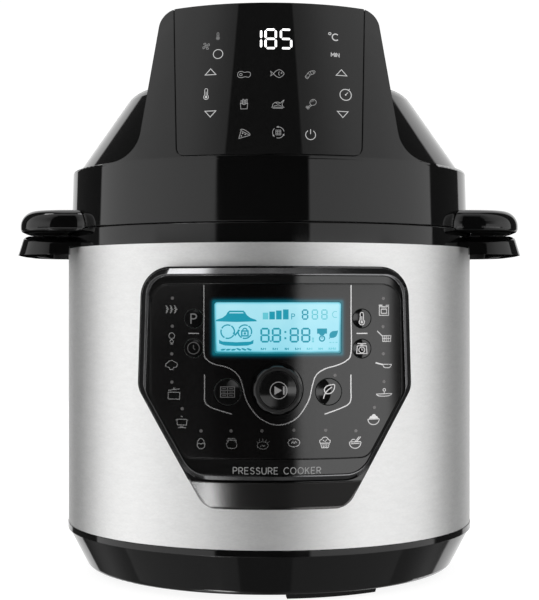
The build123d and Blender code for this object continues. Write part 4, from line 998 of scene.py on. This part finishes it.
# ---- coil spring under the pot sensor, built in place of the hidden sensor_spring part
def coil():
    bm = bmesh.new()
    turns, n, m, rc, rw = 13.0 / 2.75, 40, 12, 8.0, 0.55
    total = int(turns * n)
    loops = []
    for i in range(total + 1):
        a = 2 * pi * turns * i / total
        z = 38.9 + 13.0 * i / total
        loops.append([bm.verts.new(Vector(((rc + rw * cos(t)) * cos(a), (rc + rw * cos(t)) * sin(a), z + rw * sin(t))) * MM)
                      for t in (2 * pi * k / m for k in range(m))])
    for p, q in zip(loops[:-1], loops[1:]):
        for k in range(m):
            bm.faces.new([p[k], p[(k + 1) % m], q[(k + 1) % m], q[k]])
    bm.faces.new(loops[0])
    bm.faces.new(loops[-1])
    bmesh.ops.recalc_face_normals(bm, faces=bm.faces)
    me = bpy.data.meshes.new("sensor_coil")
    bm.to_mesh(me)
    bm.free()
    for p in me.polygons:
        p.use_smooth = len(p.vertices) == 4
    me.materials.append(MATS["spring_steel"])
    o = bpy.data.objects.new("sensor_coil", me)
    scene.collection.objects.link(o)
    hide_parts("sensor_spring")
    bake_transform(o)


coil()

# ---- key and dial marks
KEYS = {
    "pressure_button": (-48.4, 168.8, 5.4, ic_letter_p, 1.0), "clock_button": (-48.4, 151.6, 5.4, ic_clock, 1.0),
    "temperature_button": (49.8, 168.8, 5.4, ic_thermo, 0.98), "timer_button": (49.8, 151.2, 5.4, ic_scale, 0.98),
    "menu_button": (-28.6, 126.4, 7.6, ic_menu, 1.0), "eco_button": (29.9, 126.4, 7.6, ic_leaf, 1.02),
}
for n, (bx, bz, br, fn, sc) in KEYS.items():
    yc = -sqrt((PAN_R + 0.35) ** 2 - bx * bx) - 38.0 + 0.35

    def place(x, z, h, bx=bx, bz=bz, yc=yc):
        return turned(bx + x, yc + sqrt(38.0 ** 2 - x * x - z * z) - h, bz + z)

    # painted shade: the left-hand keys (pressure, clock, menu) get darker copies of the mark ink, the clock and menu
    # keys the darkest; the right-hand keys get ink_mark
    Ink().add(fn(), 0, 0, sc).build(n + "_mark", n.replace("_button", "_key"), {"menu_button": "ink_key_painted_shade", "clock_button": "ink_key_painted_shade", "pressure_button": "ink_key"}.get(n, "ink_mark"), place, slot="key_black")


def place_cap(x, z, h):
    return turned(x, -121.0 - sqrt(38.0 ** 2 - x * x - z * z) - h, KNOB_Z + z)


st = Ink()
for i in range(7):                        # the triangle in short quads, so that it follows the dome
    for j in range(6):
        q = []
        for p, r in ((i, j), (i + 1, j), (i + 1, j + 1), (i, j + 1)):
            half = 2.7 * (1.0 - p / 7.0)
            q.append((-2.2 + 4.7 * p / 7.0, half * (2.0 * r / 6.0 - 1.0)))
        if i == 6:
            q = [q[0], q[1], q[3]]
        st.fill(q)
st.strip([(3.6, 2.6 - 0.65 * k) for k in range(9)], 0.9).ring(0.4, 0, 5.2, 0.5, 40)
Ink().add(st, 0, 0, 0.92).build("start_mark", "start", "ink_start", place_cap, t1=0.02, slot="start_black")

# =============================================================== prints of the touch panel
T = Ink()
M = Ink()
for fn, x, z, s in (
    (lambda: ic_tri(1), -35.4, 317.4, 1.0), (ic_thermo, -37.9, 303.4, 0.92), (lambda: ic_tri(-1), -35.2, 290.6, 1.0),
    (ic_steak, -15.2, 314.9, 0.95), (ic_fish, 4.8, 315.3, 0.95), (ic_shrimp, 24.4, 315.1, 0.92),
    (ic_fries, -15.0, 296.2, 0.9), (ic_roast, 5.1, 296.2, 0.92), (ic_drumstick, 24.5, 296.6, 0.9),
    (ic_pizza, -14.8, 277.6, 0.92), (ic_defrost, 5.4, 278.5, 0.98), (ic_power, 24.5, 277.6, 0.98),
    (lambda: ic_tri(1), 43.8, 317.4, 1.0), (ic_timer, 46.1, 303.3, 1.0), (lambda: ic_tri(-1), 44.1, 290.7, 1.0),
):
    food = abs(x - 4.8) < 25.0 and fn is not ic_power
    Ink.weight = 0.66 if food or fn in (ic_thermo, ic_power) else 0.80
    (M if food else T).add(fn(), x, z, s)
Ink.weight = 0.80
T.ring(-31.0, 328.6, 2.9, 0.55, 30)
T.ring(37.0, 342.3, 0.75, 0.60, 14).arc(40.6, 340.2, 2.1, 48, 312, 0.86)
T.add(word("MIN", 2.4, 0.62, 0.3), 40.1, 328.6)
T.build("touch_icons", "head", "ink_lit", on_touch, slot="touch_glass")
M.build("touch_icons_food", "head", "ink_lit_mid", on_touch, slot="touch_glass")
T2 = Ink().add(ic_fan(), -38.4, 334.1, 0.9).add(ic_thermo(), -31.2, 340.3, 0.62)
T2.build("touch_icons_dim", "head", "ink_lit_dim", on_touch, slot="touch_glass")
Ink.weight = 1.0
G = Ink()
G.add(seg7("1", 12.0, 0.0, 1.30, gap=0.42), -4.9, 337.6)
G.add(seg7("8", 12.0, 6.2, 1.30, gap=0.45), 0.9, 337.6).add(seg7("5", 12.0, 6.2, 1.30, gap=0.45), 10.2, 337.6)
G.build("touch_digits", "head", "digit_lit", on_touch, slot="touch_glass")

# =============================================================== studio
floor_me = bpy.data.meshes.new("floor")
bm = bmesh.new()
NF = 96
cen = bm.verts.new((0, 0, 0))
rings = []
for r in (0.2, 0.5, 1.0, 1.6):
    rings.append([bm.verts.new((r * cos(2 * pi * i / NF), r * sin(2 * pi * i / NF), 0)) for i in range(NF)])
for i in range(NF):
    bm.faces.new([cen, rings[0][i], rings[0][(i + 1) % NF]])
    for a, b in zip(rings[:-1], rings[1:]):
        bm.faces.new([a[i], b[i], b[(i + 1) % NF], a[(i + 1) % NF]])
bm.to_mesh(floor_me)
bm.free()
floor = bpy.data.objects.new("floor", floor_me)
scene.collection.objects.link(floor)
floor.location = (0, 0, -0.0002)
fm = bpy.data.materials.new("floor")
fm.use_nodes = True
nt = fm.node_tree
nt.nodes.clear()
out = nt.nodes.new("ShaderNodeOutputMaterial")
em = nt.nodes.new("ShaderNodeEmission")
em.inputs[0].default_value = (1, 1, 1, 1)
em.inputs[1].default_value = 0.90
df = nt.nodes.new("ShaderNodeBsdfDiffuse")
link(nt, ramp(nt, noise(nt, obj_co(nt), 3.0, 2.0), [(0.2, (0.86, 0.86, 0.86)), (0.8, (0.9, 0.9, 0.9))]), df.inputs[0])
dk = nt.nodes.new("ShaderNodeBsdfTransparent")
add = nt.nodes.new("ShaderNodeAddShader")
sc = nt.nodes.new("ShaderNodeMixShader")
tr0 = nt.nodes.new("ShaderNodeEmission")
tr0.inputs[1].default_value = 0.0
sc.inputs[0].default_value = 0.72
nt.links.new(df.outputs[0], sc.inputs[1])
nt.links.new(tr0.outputs[0], sc.inputs[2])
nt.links.new(em.outputs[0], add.inputs[0])
nt.links.new(sc.outputs[0], add.inputs[1])
lp = nt.nodes.new("ShaderNodeLightPath")
mx = nt.nodes.new("ShaderNodeMixShader")
nt.links.new(lp.outputs["Is Camera Ray"], mx.inputs[0])
nt.links.new(dk.outputs[0], mx.inputs[1])
nt.links.new(add.outputs[0], mx.inputs[2])
nt.links.new(mx.outputs[0], out.inputs[0])
floor_me.materials.append(fm)

world = bpy.data.worlds.new("studio")
scene.world = world
world.use_nodes = True
nt = world.node_tree
nt.nodes.clear()
wo = nt.nodes.new("ShaderNodeOutputWorld")
tc = nt.nodes.new("ShaderNodeTexCoord")
x, y, z = sep(nt, tc.outputs["Generated"])
az = x.atan2(-y) * (180 / pi)             # 0 = from the front, + = from the right
el = z.asin() * (180 / pi)
BOX = 1.25


def win(v, a, b, s=1.2):
    """1 between a and b."""
    return v.step(a - s, a + s) * (1.0 - v.step(b - s, b + s))


aab = az.abs()
high = el.step(10.0, 44.0)                            # the boxes fade towards their top inner corners
shade = (1.0 - high) * (aab.step(22.0, 75.0) * 0.15 + 0.77) + high * (aab.step(18.0, 66.0) * 0.40 + 0.25)
right = win(az, 22.2, 104.3, 0.9)
left = win(az, -111.4, -29.6, 0.9)
under = 1.0 - el.step(-15.0, -12.5)
fill = win(el, 11.0, 30.0, 1.5) + win(el, -32.0, -12.5, 1.5)
right = right * (1.0 - fill * (1.0 - az.step(20.0, 62.0)) * 0.9)
sides = (right * (1.0 - under * 0.14) + left * (1.0 + under * 0.16)) * shade + win(el, -32.0, -12.5, 1.5) * win(az, -34.0, -2.0, 9.0) * 0.85
# between the lower edges of the boxes and the table: what the upright panel mirrors
low = win(el, -8.8, 2.0, 0.6)
panel = win(az, 14.0, 64.0, 2.5) * 1.9 + win(az, 72.0, 104.3, 3.0) + win(az, -111.4, -66.0, 3.0)
sides = sides * (1.0 - low) + panel * low
back = win(az, 141.0, 171.0, 1.2) + win(az, -171.0, -148.8, 1.2)
gaps = (win(az, 104.3, 141.0) + win(az, -148.8, -111.4)) * (0.04 + (1.0 - el.step(-34.0, -22.0)) * 0.2)
strip = win(az, -121.5, -105.0, 1.5) * win(el, 60.5, 73.5, 1.5) * 5.8
glints = win(az, -74.0, -51.0, 3.0) * win(el, -76.0, -63.6, 1.0) * 8.0 + win(az, -130.0, -92.0, 4.0) * win(el, -80.0, -66.0, 2.0) * 1.5
ceil = el.step(70.0, 80.0) * 0.05
table = 1.0 - (el - aab.step(40.0, 100.0) * 14.0).step(-57.0, -46.0)
env = (sides * BOX + back + gaps) * (1.0 - table * 0.86)
env = env.max(ceil) + strip + glints + table * 0.10 + 0.010
bgs = nt.nodes.new("ShaderNodeBackground")
cc = comb(nt, env, env, env)
nt.links.new(cc, bgs.inputs[0])
bgs.inputs[1].default_value = 1.0
bgd = nt.nodes.new("ShaderNodeBackground")
bgd.inputs[0].default_value = (1, 1, 1, 1)
bgd.inputs[1].default_value = 1.0
bgw = nt.nodes.new("ShaderNodeBackground")
bgw.inputs[0].default_value = (1, 1, 1, 1)
bgw.inputs[1].default_value = 1.05
lp = nt.nodes.new("ShaderNodeLightPath")
m1 = nt.nodes.new("ShaderNodeMixShader")
m2 = nt.nodes.new("ShaderNodeMixShader")
nt.links.new(lp.outputs["Is Camera Ray"], m1.inputs[0])
nt.links.new(m2.outputs[0], m1.inputs[1])
nt.links.new(bgw.outputs[0], m1.inputs[2])
nt.links.new(lp.outputs["Is Diffuse Ray"], m2.inputs[0])
nt.links.new(bgs.outputs[0], m2.inputs[1])
nt.links.new(bgd.outputs[0], m2.inputs[2])
nt.links.new(m1.outputs[0], wo.inputs[0])

cam_data = bpy.data.cameras.new("camera")
cam = bpy.data.objects.new("camera", cam_data)
scene.collection.objects.link(cam)
cam_data.sensor_width = 36.0
cam_data.sensor_fit = "AUTO"
cam_data.lens = 84.78
cam.location = (0.00017, -0.961, 0.1796)
cam.rotation_euler = (pi / 2, 0, 0)
cam_data.clip_start, cam_data.clip_end = 0.01, 20.0
scene.camera = cam
